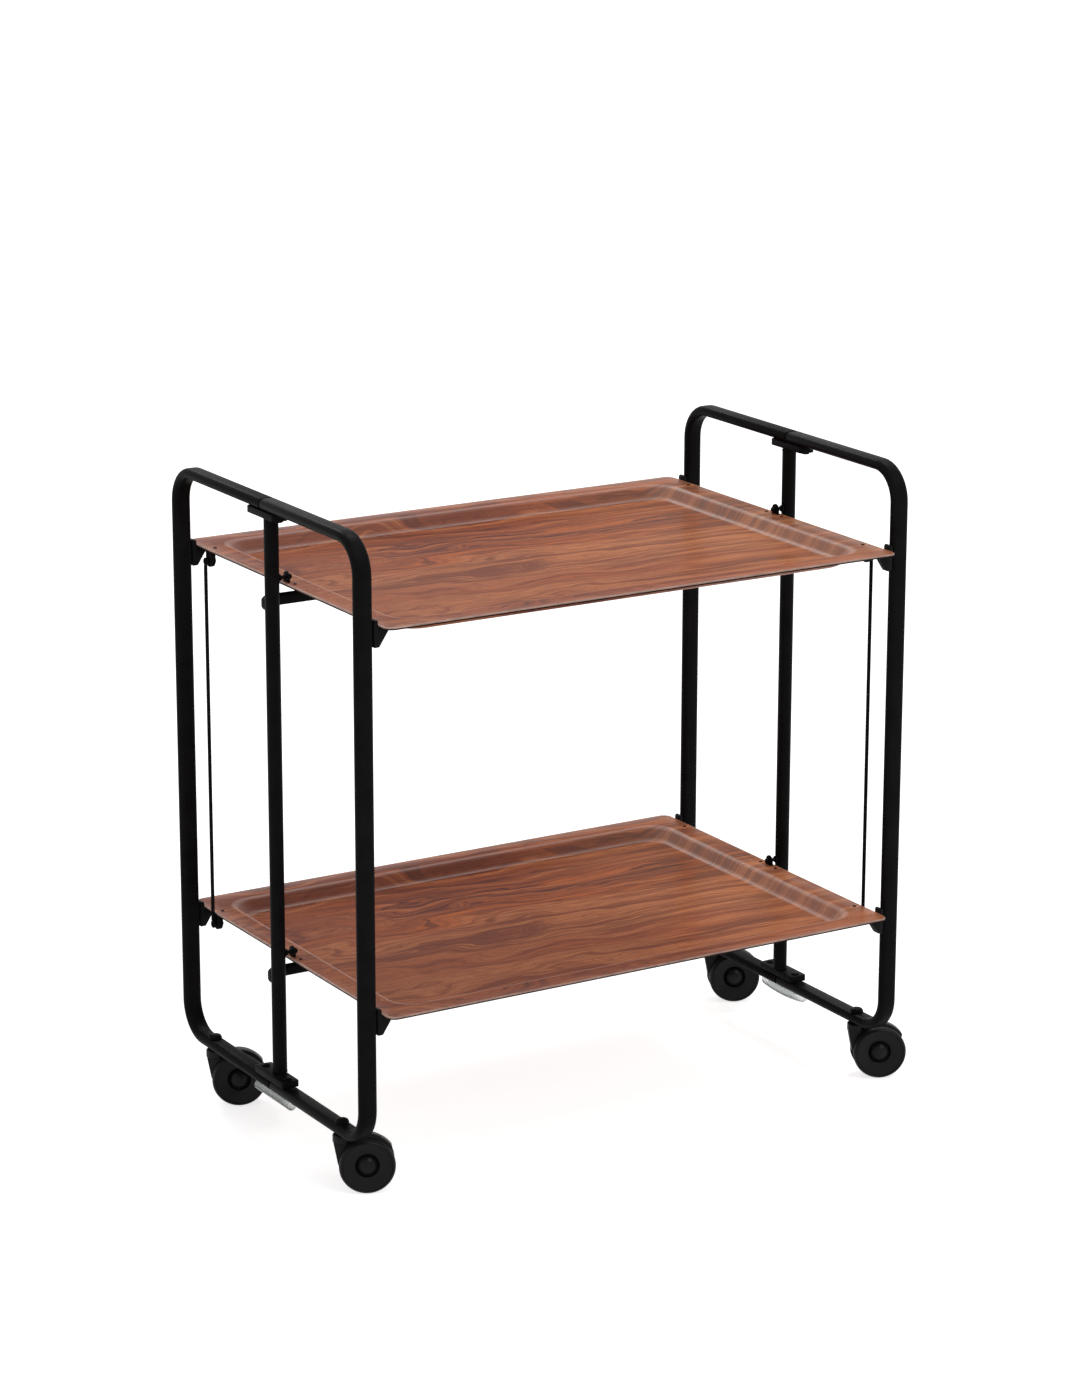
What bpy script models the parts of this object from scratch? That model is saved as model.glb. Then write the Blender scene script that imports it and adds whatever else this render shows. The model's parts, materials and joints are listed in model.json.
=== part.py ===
"""Folding serving trolley: two trays between a pair of hinged tube frames on casters.

Metres, +Z up, the trolley stands on z = 0 with its front facing -Y.
Each side frame is two C-shaped halves of flat-oval tube, joined by hinge plates at the middle post.
Both trays tilt on pins at the middle posts, tied by two thin upright rods.
"""

import math

import bmesh
import bpy
from mathutils import Vector

for old in list(bpy.data.objects):
    bpy.data.objects.remove(old, do_unlink=True)

# Driving sizes of the side frames.
FRAME_SPAN = 0.6490            # between the centre planes of the two side frames
FRAME_DEPTH = 0.400            # between the centres of the front and rear uprights
BAR_HIGH_Z = 0.6995            # centre of the top bars

FIT_GAP = 0.0003               # between pieces that rest on each other
RUN_GAP = 0.0005               # between pieces that move past each other
CUT_OVERRUN = 0.002            # how far a cutter passes the face that it opens

# flat-oval tube of the four half frames
TUBE_WIDE = 0.0202             # across the side frame, along X
TUBE_THIN = 0.0118             # in the plane of the bend
TUBE_BEND = 0.036              # centre-line radius of the four corners
BUTT_GAP = 0.0024              # between the facing ends of two halves

# hinge at the middle of each side frame, top and bottom
POST_RADIUS = 0.0077
POST_INSET = 0.0040            # middle post, inward of the frame plane
HINGE_REACH = 0.025            # hinge pin to the middle of the frame
PLATE_THICK = 0.0072
PLATE_LOW_END = 0.0075         # bottom plate beyond the pin's centre
PLATE_LOW_CORNER = 0.0030
PLATE_HIGH_END = 0.0055        # top plate beyond the pin's centre
PLATE_HIGH_WIDE = 0.0182
PIN_RADIUS = 0.0030
PIN_PLAY = 0.0003
PIN_HEAD_RADIUS = 0.0046
PIN_HEAD_RISE = 0.0018

# trays
TRAY_END_GAP = 0.0054          # tray's end to the uprights' inner sides
TRAY_OVERHANG = 0.0220         # tray's long edge past the centre of the uprights
TRAY_CORNER = 0.0100
WELL_CORNER = 0.0260
TRAY_SKIN = 0.0030
RIM_WIDTH = 0.0230
WALL_RUN = 0.0170              # plan width of the sloping wall of the well
WELL_DROP = 0.0140             # rim top to well top
UPPER_RIM_DROP = 0.0845        # upper rim below the centre of the top bars
LOWER_RIM_Z = 0.2090

# tray pivots on the middle posts
PIVOT_RISE = 0.0050            # pivot axis above the rim
PIVOT_RADIUS = 0.0020
PIVOT_PLAY = 0.0001
PIVOT_REACH = 0.0145           # pin from the post inward
EAR_THICK = 0.0020
EAR_WIDTH = 0.0120
EAR_INSET = 0.0045             # ear's outer face from the tray's end
EAR_FOOT_WIDTH = 0.0360
EAR_FOOT_RUN = 0.0110
SLOT_PLAY = 0.0005

# rods that tie the trays, with their hanger tongues
ROD_RADIUS = 0.0020
ROD_INSET_Y = 0.0300           # rod from the centre of the upright, towards the middle
ROD_X_CLEAR = 0.0027           # rod centre from the tray's end
ROD_EYE_RADIUS = 0.0042
ROD_PIN_RADIUS = 0.0013
ROD_PIN_PLAY = 0.00015
ROD_PIN_DROP = 0.0100          # rod pin below the rim's underside
TONGUE_WIDTH = 0.0130
TONGUE_THICK = 0.0060
TONGUE_FOOT_THICK = 0.0020
TONGUE_INSET = 0.0006
TONGUE_FOOT_RUN = 0.0190

# corner clips under the tray corners
CLIP_WIDTH = 0.0100            # along Y
CLIP_RISE = 0.0050             # tab above the rim
CLIP_DROP = 0.0200             # gusset below the rim
CLIP_SHELF = 0.0170            # shelf from the upright inward
CLIP_TAB = 0.0042

# cross bars between the middle posts
CROSS_TALL = 0.0130
CROSS_WIDE = 0.0080
CROSS_BACK = 0.0270            # behind the posts
CROSS_DROP = 0.0300            # below the pivot axis
CROSS_BEND = 0.0140

# springs across the bottom hinges
SPRING_RADIUS = 0.0053         # outside radius
SPRING_WIRE = 0.0008           # wire radius
SPRING_LENGTH = 0.0790
SPRING_OUTSET = 0.0025         # outward of the frame plane
SPRING_SAG = 0.0034            # the right spring hangs slack by this much at its middle
SPRING_CURLS = 26
SPRING_POINTS = 8              # points along one curl

# casters
STEM_INSET_Y = 0.0550          # swivel axis from the centre of the upright, towards the middle
STEM_RADIUS = 0.0040
TRAIL_TUCK = 0.0029            # wheel's chord and collar overlap along the trail
TRAIL_ANGLE = math.radians(-25.0)
WHEEL_RADIUS = 0.0295
WHEEL_HALF = 0.0165            # half of the width over both discs
TREAD_ROUND = 0.0016
WEB_HALF = 0.0055              # half of the fork between the discs
AXLE_RADIUS = 0.0028
AXLE_PLAY = 0.0001
COLLAR_RADIUS = 0.0102
COLLAR_TALL = 0.0090
NUT_RADIUS = 0.0075
NUT_RISE = 0.0046
NUT_BORE_DEPTH = 0.0022
BOSS_RADIUS = 0.0090           # round end of the fork at the axle
FENDER_GAP = 0.0006            # fork's crown over the discs
FENDER_THICK = 0.0018
CROWN_CLEAR = 0.0007           # fork's crown below the top of the collar
WEB_BEYOND = 0.0005            # fork behind the wheel, at the axle's height
HUB_RADIUS = 0.0120
DISH_DEPTH = 0.0040
RING_WIDTH = 0.0040            # raised ring on each disc

# Shares of a size, for the rounded outlines.
WALL_SHARES = ((0.18, 0.06), (0.36, 0.22), (0.64, 0.78), (0.82, 0.94), (1.0, 1.0))
PIN_HEAD_SHARES = (0.6, 0.82)
HUB_SHARES = ((0.7, 0.2), 0.3)
NUT_SHARES = ((0.5, 0.9), (0.88, 0.6), (1.0, 0.25))
WEB_REAR_SHARE = 0.92

# Places that follow from the sizes above.
FRAME_X = FRAME_SPAN / 2
UPRIGHT_Y = FRAME_DEPTH / 2
POST_X = FRAME_X - POST_INSET
UPRIGHT_INNER = FRAME_X - TUBE_WIDE / 2
TRAY_LENGTH = 2 * (UPRIGHT_INNER - TRAY_END_GAP)
TRAY_DEPTH = FRAME_DEPTH + 2 * TRAY_OVERHANG
TRAY_END = TRAY_LENGTH / 2
TRAY_EDGE = TRAY_DEPTH / 2
ROD_X = TRAY_END + ROD_X_CLEAR
ROD_Y = UPRIGHT_Y - ROD_INSET_Y
STEM_Y = UPRIGHT_Y - STEM_INSET_Y
UPPER_RIM_Z = BAR_HIGH_Z - UPPER_RIM_DROP
# The bottom bars lie over the wheels, and the wheels reach back towards the collars.
BAR_LOW_Z = 2 * WHEEL_RADIUS + FENDER_GAP + FENDER_THICK + CROWN_CLEAR + RUN_GAP + TUBE_THIN / 2
BAR_LOW_TOP = BAR_LOW_Z + TUBE_THIN / 2
BAR_LOW_UNDER = BAR_LOW_Z - TUBE_THIN / 2
COLLAR_TOP = BAR_LOW_UNDER - RUN_GAP
COLLAR_LOW = COLLAR_TOP - COLLAR_TALL
WHEEL_CHORD = math.sqrt(WHEEL_RADIUS ** 2 - (COLLAR_LOW - WHEEL_RADIUS) ** 2)
TRAIL = COLLAR_RADIUS + WHEEL_CHORD - TRAIL_TUCK     # swivel axis to axle
RING_INNER = WHEEL_RADIUS - RING_WIDTH
BAR_HIGH_UNDER = BAR_HIGH_Z - TUBE_THIN / 2
PLATE_LOW_TOP = BAR_LOW_TOP + FIT_GAP + PLATE_THICK
PLATE_HIGH_UNDER = BAR_HIGH_UNDER - FIT_GAP - PLATE_THICK

# The casters trail to the right, so the footprint reaches further on that side.
WHEEL_REACH_X = ((TRAIL + WHEEL_RADIUS - TREAD_ROUND) * math.cos(TRAIL_ANGLE)
                 - (WHEEL_HALF - TREAD_ROUND / 2) * math.sin(TRAIL_ANGLE))
FOOTPRINT_SHIFT = (WHEEL_REACH_X - COLLAR_RADIUS) / 2

SIDES = (("left", -1), ("right", 1))
ENDS = (("front", -1), ("rear", 1))
LEVELS = (("upper", UPPER_RIM_Z), ("lower", LOWER_RIM_Z))
QUARTERS = ((1, 1), (-1, 1), (-1, -1), (1, -1))
STAND_YZ = (math.pi / 2, 0.0, math.pi / 2)     # local XY drawing into the world YZ plane
STAND_XZ = (math.pi / 2, 0.0, 0.0)             # local XY drawing into the world XZ plane

# The model's own collection, with another for the hidden cutting shapes.
trolley = bpy.data.collections.new("folding_serving_trolley")
cutters = bpy.data.collections.new("cutters")
bpy.context.scene.collection.children.link(trolley)
bpy.context.scene.collection.children.link(cutters)


def material(name, colour, roughness, metallic):
    made = bpy.data.materials.new(name)
    made.use_nodes = True
    shader = made.node_tree.nodes["Principled BSDF"]
    shader.inputs["Base Color"].default_value = (*colour, 1.0)
    shader.inputs["Roughness"].default_value = roughness
    shader.inputs["Metallic"].default_value = metallic
    return made


BLACK = ((0.020, 0.019, 0.020), 0.38, 0.0)
BLACK_PLASTIC = ((0.016, 0.016, 0.017), 0.50, 0.0)
ROSEWOOD = ((0.260, 0.085, 0.040), 0.30, 0.0)
ZINC = ((0.600, 0.610, 0.620), 0.32, 1.0)
STEEL = ((0.420, 0.420, 0.430), 0.35, 1.0)
CASTER = ((0.055, 0.050, 0.052), 0.42, 0.0)


def empty(name, place, parent=None, turn=0.0):
    made = bpy.data.objects.new(name, None)
    trolley.objects.link(made)
    made.location = place
    made.rotation_euler = (0.0, 0.0, turn)
    made.parent = parent
    return made


def add(name, data, finish, parent, place=(0.0, 0.0, 0.0), turn=(0.0, 0.0, 0.0)):
    """Link one named piece, with a material of its own."""
    made = bpy.data.objects.new(name, data)
    trolley.objects.link(made)
    made.location = place
    made.rotation_euler = turn
    made.parent = parent
    data.materials.clear()
    data.materials.append(material(name + "_finish", *finish))
    return made


def mesh_of(curve, name):
    """Turn a curve into a welded mesh and remove the curve."""
    holder = bpy.data.objects.new(name + "_path", curve)
    bpy.context.scene.collection.objects.link(holder)
    bpy.context.view_layer.update()
    graph = bpy.context.evaluated_depsgraph_get()
    mesh = bpy.data.meshes.new_from_object(holder.evaluated_get(graph))
    bpy.data.objects.remove(holder, do_unlink=True)
    work = bmesh.new()
    work.from_mesh(mesh)
    bmesh.ops.remove_doubles(work, verts=work.verts, dist=SPRING_WIRE / 100)
    bmesh.ops.recalc_face_normals(work, faces=work.faces)
    work.to_mesh(mesh)
    work.free()
    mesh.name = name
    return mesh


def outline(name, points, thickness):
    """A flat plate: a closed outline in local XY, extruded both ways along local Z."""
    curve = bpy.data.curves.new(name, "CURVE")
    curve.dimensions = "2D"
    curve.fill_mode = "BOTH"
    curve.extrude = thickness / 2
    spline = curve.splines.new("POLY")
    spline.points.add(len(points) - 1)
    for point, (x, y) in zip(spline.points, points):
        point.co = (x, y, 0.0, 1.0)
    spline.use_cyclic_u = True
    return mesh_of(curve, name)


def arc(centre, radius, start, end, steps):
    """Points of a circular arc; angles in degrees."""
    found = []
    for step in range(steps + 1):
        angle = math.radians(start + (end - start) * step / steps)
        found.append((centre[0] + radius * math.cos(angle), centre[1] + radius * math.sin(angle)))
    return found


def swept(name, path, profile):
    """A tube along a path in local XY, with a closed profile of half width and half height."""
    half_in_plane, half_across = profile
    section = bpy.data.curves.new(name + "_section", "CURVE")
    section.dimensions = "2D"
    ring = section.splines.new("POLY")
    flat = half_across - half_in_plane
    points = arc((0.0, flat), half_in_plane, 0, 180, 6) + arc((0.0, -flat), half_in_plane, 180, 360, 6)
    ring.points.add(len(points) - 1)
    for point, (x, y) in zip(ring.points, points):
        point.co = (x, y, 0.0, 1.0)
    ring.use_cyclic_u = True
    holder = bpy.data.objects.new(name + "_section", section)
    bpy.context.scene.collection.objects.link(holder)
    curve = bpy.data.curves.new(name, "CURVE")
    curve.dimensions = "3D"
    curve.twist_mode = "Z_UP"
    curve.bevel_mode = "OBJECT"
    curve.bevel_object = holder
    curve.use_fill_caps = True
    spline = curve.splines.new("POLY")
    spline.points.add(len(path) - 1)
    for point, (x, y) in zip(spline.points, path):
        point.co = (x, y, 0.0, 1.0)
    mesh = mesh_of(curve, name)
    bpy.data.objects.remove(holder, do_unlink=True)
    return mesh


def turned(name, profile, steps=16):
    """A turned shape about local Z; the profile runs down the outer side, top to bottom."""
    mesh = bpy.data.meshes.new(name)
    verts = [(radius, 0.0, height) for radius, height in profile]
    mesh.from_pydata(verts, [(i, i + 1) for i in range(len(verts) - 1)], [])
    holder = bpy.data.objects.new(name + "_profile", mesh)
    bpy.context.scene.collection.objects.link(holder)
    screw = holder.modifiers.new("turn", "SCREW")
    screw.axis = "Z"
    screw.steps = steps
    screw.render_steps = steps
    screw.use_merge_vertices = True
    screw.merge_threshold = FIT_GAP / 100
    bpy.context.view_layer.update()
    graph = bpy.context.evaluated_depsgraph_get()
    made = bpy.data.meshes.new_from_object(holder.evaluated_get(graph))
    bpy.data.objects.remove(holder, do_unlink=True)
    work = bmesh.new()
    work.from_mesh(made)
    bmesh.ops.remove_doubles(work, verts=work.verts, dist=FIT_GAP / 100)
    bmesh.ops.recalc_face_normals(work, faces=work.faces)
    work.to_mesh(made)
    work.free()
    made.name = name
    return made


def rod_mesh(name, radius, length, sides=16):
    """A plain round bar about local Z, from z = 0 up."""
    mesh = bpy.data.meshes.new(name)
    work = bmesh.new()
    bmesh.ops.create_cone(work, cap_ends=True, segments=sides, radius1=radius, radius2=radius, depth=length)
    bmesh.ops.translate(work, verts=work.verts, vec=(0.0, 0.0, length / 2))
    work.to_mesh(mesh)
    work.free()
    return mesh


def box_mesh(name, size):
    """A box about its centre."""
    mesh = bpy.data.meshes.new(name)
    work = bmesh.new()
    bmesh.ops.create_cube(work, size=1.0)
    bmesh.ops.scale(work, verts=work.verts, vec=size)
    work.to_mesh(mesh)
    work.free()
    return mesh


def tool(name, mesh, parent, place, turn=(0.0, 0.0, 0.0)):
    """A hidden object that cuts or joins another."""
    made = bpy.data.objects.new(name, mesh)
    cutters.objects.link(made)
    made.location = place
    made.rotation_euler = turn
    made.parent = parent
    made.hide_render = True
    made.display_type = "WIRE"
    return made


def combine(target, other, operation="DIFFERENCE"):
    step = target.modifiers.new(operation.lower(), "BOOLEAN")
    step.operation = operation
    step.solver = "EXACT"
    step.object = other


def smooth(made, angle=40.0):
    made.data.shade_smooth()
    made.data.set_sharp_from_angle(angle=math.radians(angle))


# The whole trolley hangs on one empty, so the origin is at the middle of its footprint.
base = empty("trolley_base", (-FOOTPRINT_SHIFT, 0.0, 0.0))


def half_path():
    """The C of one half frame, in its own plane: first axis outward, second axis up."""
    near = BUTT_GAP / 2
    turn = UPRIGHT_Y - TUBE_BEND
    low = arc((turn, BAR_LOW_Z + TUBE_BEND), TUBE_BEND, -90, 0, 6)
    high = arc((turn, BAR_HIGH_Z - TUBE_BEND), TUBE_BEND, 0, 90, 6)
    return [(near, BAR_LOW_Z)] + low + high + [(near, BAR_HIGH_Z)]


def half_frame(side, side_sign, end, end_sign):
    name = f"{side}_{end}_half_frame"
    path = [(end_sign * along, height) for along, height in half_path()]
    mesh = swept(name, path, (TUBE_THIN / 2, TUBE_WIDE / 2))
    made = add(name, mesh, BLACK, base, (side_sign * FRAME_X, 0.0, 0.0), STAND_YZ)
    hole = TUBE_THIN + 2 * CUT_OVERRUN
    pin_y = end_sign * HINGE_REACH
    for label, level in (("low", BAR_LOW_Z), ("high", BAR_HIGH_Z)):
        drill = rod_mesh(f"{name}_{label}_pin_hole", PIN_RADIUS + PIN_PLAY, hole, 12)
        place = (side_sign * FRAME_X, pin_y, level - hole / 2)
        combine(made, tool(f"{name}_{label}_pin_hole", drill, base, place))
    drill = rod_mesh(f"{name}_stem_hole", STEM_RADIUS + PIN_PLAY, hole, 12)
    place = (side_sign * FRAME_X, end_sign * STEM_Y, BAR_LOW_Z - hole / 2)
    combine(made, tool(f"{name}_stem_hole", drill, base, place))
    smooth(made)


def hinge_plate(side, side_sign, label, level, half, end_reach, corner):
    """A flat bar with rounded corners that carries both hinge pins."""
    name = f"{side}_{label}_hinge_plate"
    reach = HINGE_REACH + end_reach
    points = []
    for quarter, (sx, sy) in enumerate(QUARTERS):
        centre = (sx * (half - corner), sy * (reach - corner))
        points += arc(centre, corner, 90 * quarter, 90 * quarter + 90, 4)
    made = add(name, outline(name, points, PLATE_THICK), BLACK, base, (side_sign * FRAME_X, 0.0, level))
    hole = PLATE_THICK + 2 * CUT_OVERRUN
    for end, end_sign in ENDS:
        drill = rod_mesh(f"{name}_{end}_hole", PIN_RADIUS + PIN_PLAY, hole, 12)
        place = (side_sign * FRAME_X, end_sign * HINGE_REACH, level - hole / 2)
        combine(made, tool(f"{name}_{end}_hole", drill, base, place))


def hinge_pin(side, side_sign, end, end_sign, label, level, head_up):
    """A rivet through plate and bar, its domed head on the plate."""
    name = f"{side}_{end}_{label}_hinge_pin"
    shank = PLATE_THICK + FIT_GAP + TUBE_THIN
    out_share, up_share = PIN_HEAD_SHARES
    profile = [(0.0, PIN_HEAD_RISE), (PIN_HEAD_RADIUS * out_share, PIN_HEAD_RISE * up_share),
               (PIN_HEAD_RADIUS, 0.0), (PIN_RADIUS, 0.0), (PIN_RADIUS, -shank), (0.0, -shank)]
    turn = (0.0, 0.0, 0.0) if head_up else (math.pi, 0.0, 0.0)
    place = (side_sign * FRAME_X, end_sign * HINGE_REACH, level)
    made = add(name, turned(name, profile, 12), STEEL, base, place, turn)
    smooth(made)


def middle_post(side, side_sign):
    name = f"{side}_middle_post"
    foot = PLATE_LOW_TOP + FIT_GAP
    length = PLATE_HIGH_UNDER - FIT_GAP - foot
    made = add(name, rod_mesh(name, POST_RADIUS, length, 20), BLACK, base, (side_sign * POST_X, 0.0, foot))
    smooth(made)


def cross_bar(label, rim_z):
    """A bar between the posts, set behind them, with its ends bent forward to meet them."""
    name = f"{label}_cross_bar"
    near = POST_RADIUS + FIT_GAP
    turn_x = POST_X - CROSS_BEND
    turn_y = CROSS_BACK - CROSS_BEND
    right = arc((turn_x, turn_y), CROSS_BEND, 0, 90, 5)
    left = arc((-turn_x, turn_y), CROSS_BEND, 90, 180, 5)
    path = [(POST_X, near)] + right + left + [(-POST_X, near)]
    mesh = swept(name, path, (CROSS_WIDE / 2, CROSS_TALL / 2))
    made = add(name, mesh, BLACK, base, (0.0, 0.0, rim_z + PIVOT_RISE - CROSS_DROP))
    smooth(made)


for side, side_sign in SIDES:
    middle_post(side, side_sign)
    low_plate = BAR_LOW_TOP + FIT_GAP + PLATE_THICK / 2
    high_plate = BAR_HIGH_UNDER - FIT_GAP - PLATE_THICK / 2
    hinge_plate(side, side_sign, "bottom", low_plate, TUBE_WIDE / 2, PLATE_LOW_END, PLATE_LOW_CORNER)
    hinge_plate(side, side_sign, "top", high_plate, PLATE_HIGH_WIDE / 2, PLATE_HIGH_END, PLATE_HIGH_WIDE / 4)
    for end, end_sign in ENDS:
        half_frame(side, side_sign, end, end_sign)
        hinge_pin(side, side_sign, end, end_sign, "bottom", PLATE_LOW_TOP + FIT_GAP, True)
        hinge_pin(side, side_sign, end, end_sign, "top", PLATE_HIGH_UNDER - FIT_GAP, False)

for label, rim_z in LEVELS:
    cross_bar(label, rim_z)


def tray_ring(work, inset, corner, height):
    """One level of the tray: a rounded rectangle, inset from the tray's outer edge."""
    half_x = TRAY_END - inset
    half_y = TRAY_EDGE - inset
    ring = []
    for quarter, (sx, sy) in enumerate(QUARTERS):
        centre = (sx * (half_x - corner), sy * (half_y - corner))
        for x, y in arc(centre, corner, 90 * quarter, 90 * quarter + 90, 5):
            ring.append(work.verts.new((x, y, height)))
    return ring


def tray_mesh(name):
    """A pressed sheet: flat rim, rounded sloping wall and flat well."""
    work = bmesh.new()
    inner = RIM_WIDTH
    levels = [(0.0, TRAY_CORNER, 0.0), (inner, WELL_CORNER, 0.0)]
    for run_share, drop_share in WALL_SHARES:
        levels.append((inner + WALL_RUN * run_share, WELL_CORNER, -WELL_DROP * drop_share))
    rings = [tray_ring(work, *level) for level in levels]
    for outer, nearer in zip(rings, rings[1:]):
        for i in range(len(outer)):
            j = (i + 1) % len(outer)
            work.faces.new((outer[i], outer[j], nearer[j], nearer[i]))
    work.faces.new(rings[-1])
    bmesh.ops.recalc_face_normals(work, faces=work.faces)
    mesh = bpy.data.meshes.new(name)
    work.to_mesh(mesh)
    work.free()
    if mesh.polygons[-1].normal.z < 0:
        mesh.flip_normals()
    return mesh


def tray(label, pivot):
    name = f"{label}_tray"
    made = add(name, tray_mesh(name), ROSEWOOD, pivot, (0.0, 0.0, -PIVOT_RISE))
    skin = made.modifiers.new("sheet", "SOLIDIFY")
    skin.thickness = TRAY_SKIN
    skin.offset = -1.0
    for side, side_sign in SIDES:
        size = (EAR_THICK + 2 * SLOT_PLAY, EAR_WIDTH + 2 * SLOT_PLAY, TRAY_SKIN + 2 * CUT_OVERRUN)
        slot = box_mesh(f"{name}_{side}_slot", size)
        place = (side_sign * (TRAY_END - EAR_INSET - EAR_THICK / 2), 0.0, -PIVOT_RISE - TRAY_SKIN / 2)
        combine(made, tool(f"{name}_{side}_slot", slot, pivot, place))
    smooth(made)


def pivot_ear(label, side, side_sign, pivot):
    """An ear that stands through the slot in the rim, on a foot riveted under it."""
    name = f"{label}_{side}_pivot_ear"
    half = EAR_WIDTH / 2
    low = -PIVOT_RISE - TRAY_SKIN - FIT_GAP - EAR_THICK
    points = [(half, low)] + arc((0.0, 0.0), half, 0, 180, 8) + [(-half, low)]
    centre_x = side_sign * (TRAY_END - EAR_INSET - EAR_THICK / 2)
    made = add(name, outline(name, points, EAR_THICK), BLACK, pivot, (centre_x, 0.0, 0.0), STAND_YZ)
    foot = box_mesh(f"{name}_foot", (EAR_FOOT_RUN, EAR_FOOT_WIDTH, EAR_THICK))
    foot_x = side_sign * (TRAY_END - EAR_INSET - EAR_FOOT_RUN / 2)
    combine(made, tool(f"{name}_foot", foot, pivot, (foot_x, 0.0, low + EAR_THICK / 2)), "UNION")
    bore = rod_mesh(f"{name}_bore", PIVOT_RADIUS + PIVOT_PLAY, EAR_THICK + 2 * CUT_OVERRUN, 16)
    place = (centre_x - EAR_THICK / 2 - CUT_OVERRUN, 0.0, 0.0)
    combine(made, tool(f"{name}_bore", bore, pivot, place, (0.0, math.pi / 2, 0.0)))


def pivot_pin(label, side, side_sign, axis_z):
    name = f"{label}_{side}_pivot_pin"
    start = POST_X - POST_RADIUS - FIT_GAP
    turn = (0.0, -side_sign * math.pi / 2, 0.0)
    place = (side_sign * start, 0.0, axis_z)
    made = add(name, rod_mesh(name, PIVOT_RADIUS, PIVOT_REACH, 16), STEEL, base, place, turn)
    smooth(made)


def rod_tongue(label, side, side_sign, end, end_sign, pivot):
    """A tongue under the tray's corner with the pin that carries the rod."""
    name = f"{label}_{side}_rod_tongue"
    half = TONGUE_WIDTH / 2
    top = -PIVOT_RISE - TRAY_SKIN - FIT_GAP
    pin_z = top - ROD_PIN_DROP
    points = [(half, top)] + arc((0.0, pin_z), half, 0, -180, 8) + [(-half, top)]
    outer = TRAY_END - TONGUE_INSET
    centre_x = side_sign * (outer - TONGUE_THICK / 2)
    rod_y = end_sign * ROD_Y
    made = add(name, outline(name, points, TONGUE_THICK), BLACK, pivot, (centre_x, rod_y, 0.0), STAND_YZ)
    foot = box_mesh(f"{name}_foot", (TONGUE_FOOT_RUN, TONGUE_WIDTH, TONGUE_FOOT_THICK))
    foot_x = side_sign * (outer - TONGUE_FOOT_RUN / 2)
    combine(made, tool(f"{name}_foot", foot, pivot, (foot_x, rod_y, top - TONGUE_FOOT_THICK / 2)), "UNION")
    reach = ROD_X + ROD_RADIUS - outer + TONGUE_THICK / 2
    pin = rod_mesh(f"{name}_pin", ROD_PIN_RADIUS, reach, 12)
    turn = (0.0, side_sign * math.pi / 2, 0.0)
    combine(made, tool(f"{name}_pin", pin, pivot, (centre_x, rod_y, pin_z), turn), "UNION")


def tie_rod(side, side_sign, end, end_sign, holder):
    """A thin rod with an eye at each end, hung on the two tongues' pins."""
    name = f"{side}_tie_rod"
    span = UPPER_RIM_Z - LOWER_RIM_Z
    made = add(name, rod_mesh(name, ROD_RADIUS, span, 12), BLACK, holder, (0.0, 0.0, -span))
    for label, height in (("upper", 0.0), ("lower", -span)):
        eye = rod_mesh(f"{name}_{label}_eye", ROD_EYE_RADIUS, 2 * ROD_RADIUS, 16)
        across = (0.0, math.pi / 2, 0.0)
        combine(made, tool(f"{name}_{label}_eye", eye, holder, (-ROD_RADIUS, 0.0, height), across), "UNION")
        reach = 2 * ROD_RADIUS + 2 * CUT_OVERRUN
        bore = rod_mesh(f"{name}_{label}_bore", ROD_PIN_RADIUS + ROD_PIN_PLAY, reach, 12)
        place = (-ROD_RADIUS - CUT_OVERRUN, 0.0, height)
        combine(made, tool(f"{name}_{label}_bore", bore, holder, place, across))


def corner_clip(label, side, side_sign, end, end_sign, holder, rim_z, on_tray):
    """A gusset with a shelf under the rim and a tab that rises beside the tray's end."""
    name = f"{label}_{side}_{end}_corner_clip"
    outer = UPRIGHT_INNER - (RUN_GAP if on_tray else FIT_GAP)
    inner = TRAY_END + FIT_GAP if on_tray else outer - CLIP_TAB
    shelf = outer - CLIP_SHELF
    top = CLIP_RISE
    under = -TRAY_SKIN - FIT_GAP
    foot = under - CLIP_DROP
    points = [(outer, top), (outer, foot), (inner, foot), (shelf, under - TRAY_SKIN), (shelf, under),
              (inner, under), (inner, top)]
    points = [(side_sign * x, z) for x, z in points]
    centre_y = end_sign * UPRIGHT_Y
    place = (0.0, centre_y, rim_z)
    add(name, outline(name, points, CLIP_WIDTH), BLACK_PLASTIC, holder, place, STAND_XZ)


for label, rim_z in LEVELS:
    axis_z = rim_z + PIVOT_RISE
    pivot = empty(f"{label}_tray_pivot", (0.0, 0.0, axis_z), base)
    tray(label, pivot)
    for side, side_sign in SIDES:
        pivot_ear(label, side, side_sign, pivot)
        pivot_pin(label, side, side_sign, axis_z)
        corner_clip(label, side, side_sign, "front", -1, pivot, -PIVOT_RISE, True)
        corner_clip(label, side, side_sign, "rear", 1, base, rim_z, False)
    rod_tongue(label, "left", -1, "rear", 1, pivot)
    rod_tongue(label, "right", 1, "front", -1, pivot)

ROD_PIN_Z = UPPER_RIM_Z - TRAY_SKIN - FIT_GAP - ROD_PIN_DROP
for side, side_sign, end, end_sign in (("left", -1, "rear", 1), ("right", 1, "front", -1)):
    holder = empty(f"{side}_tie_rod_pivot", (side_sign * ROD_X, end_sign * ROD_Y, ROD_PIN_Z), base)
    tie_rod(side, side_sign, end, end_sign, holder)


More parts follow.
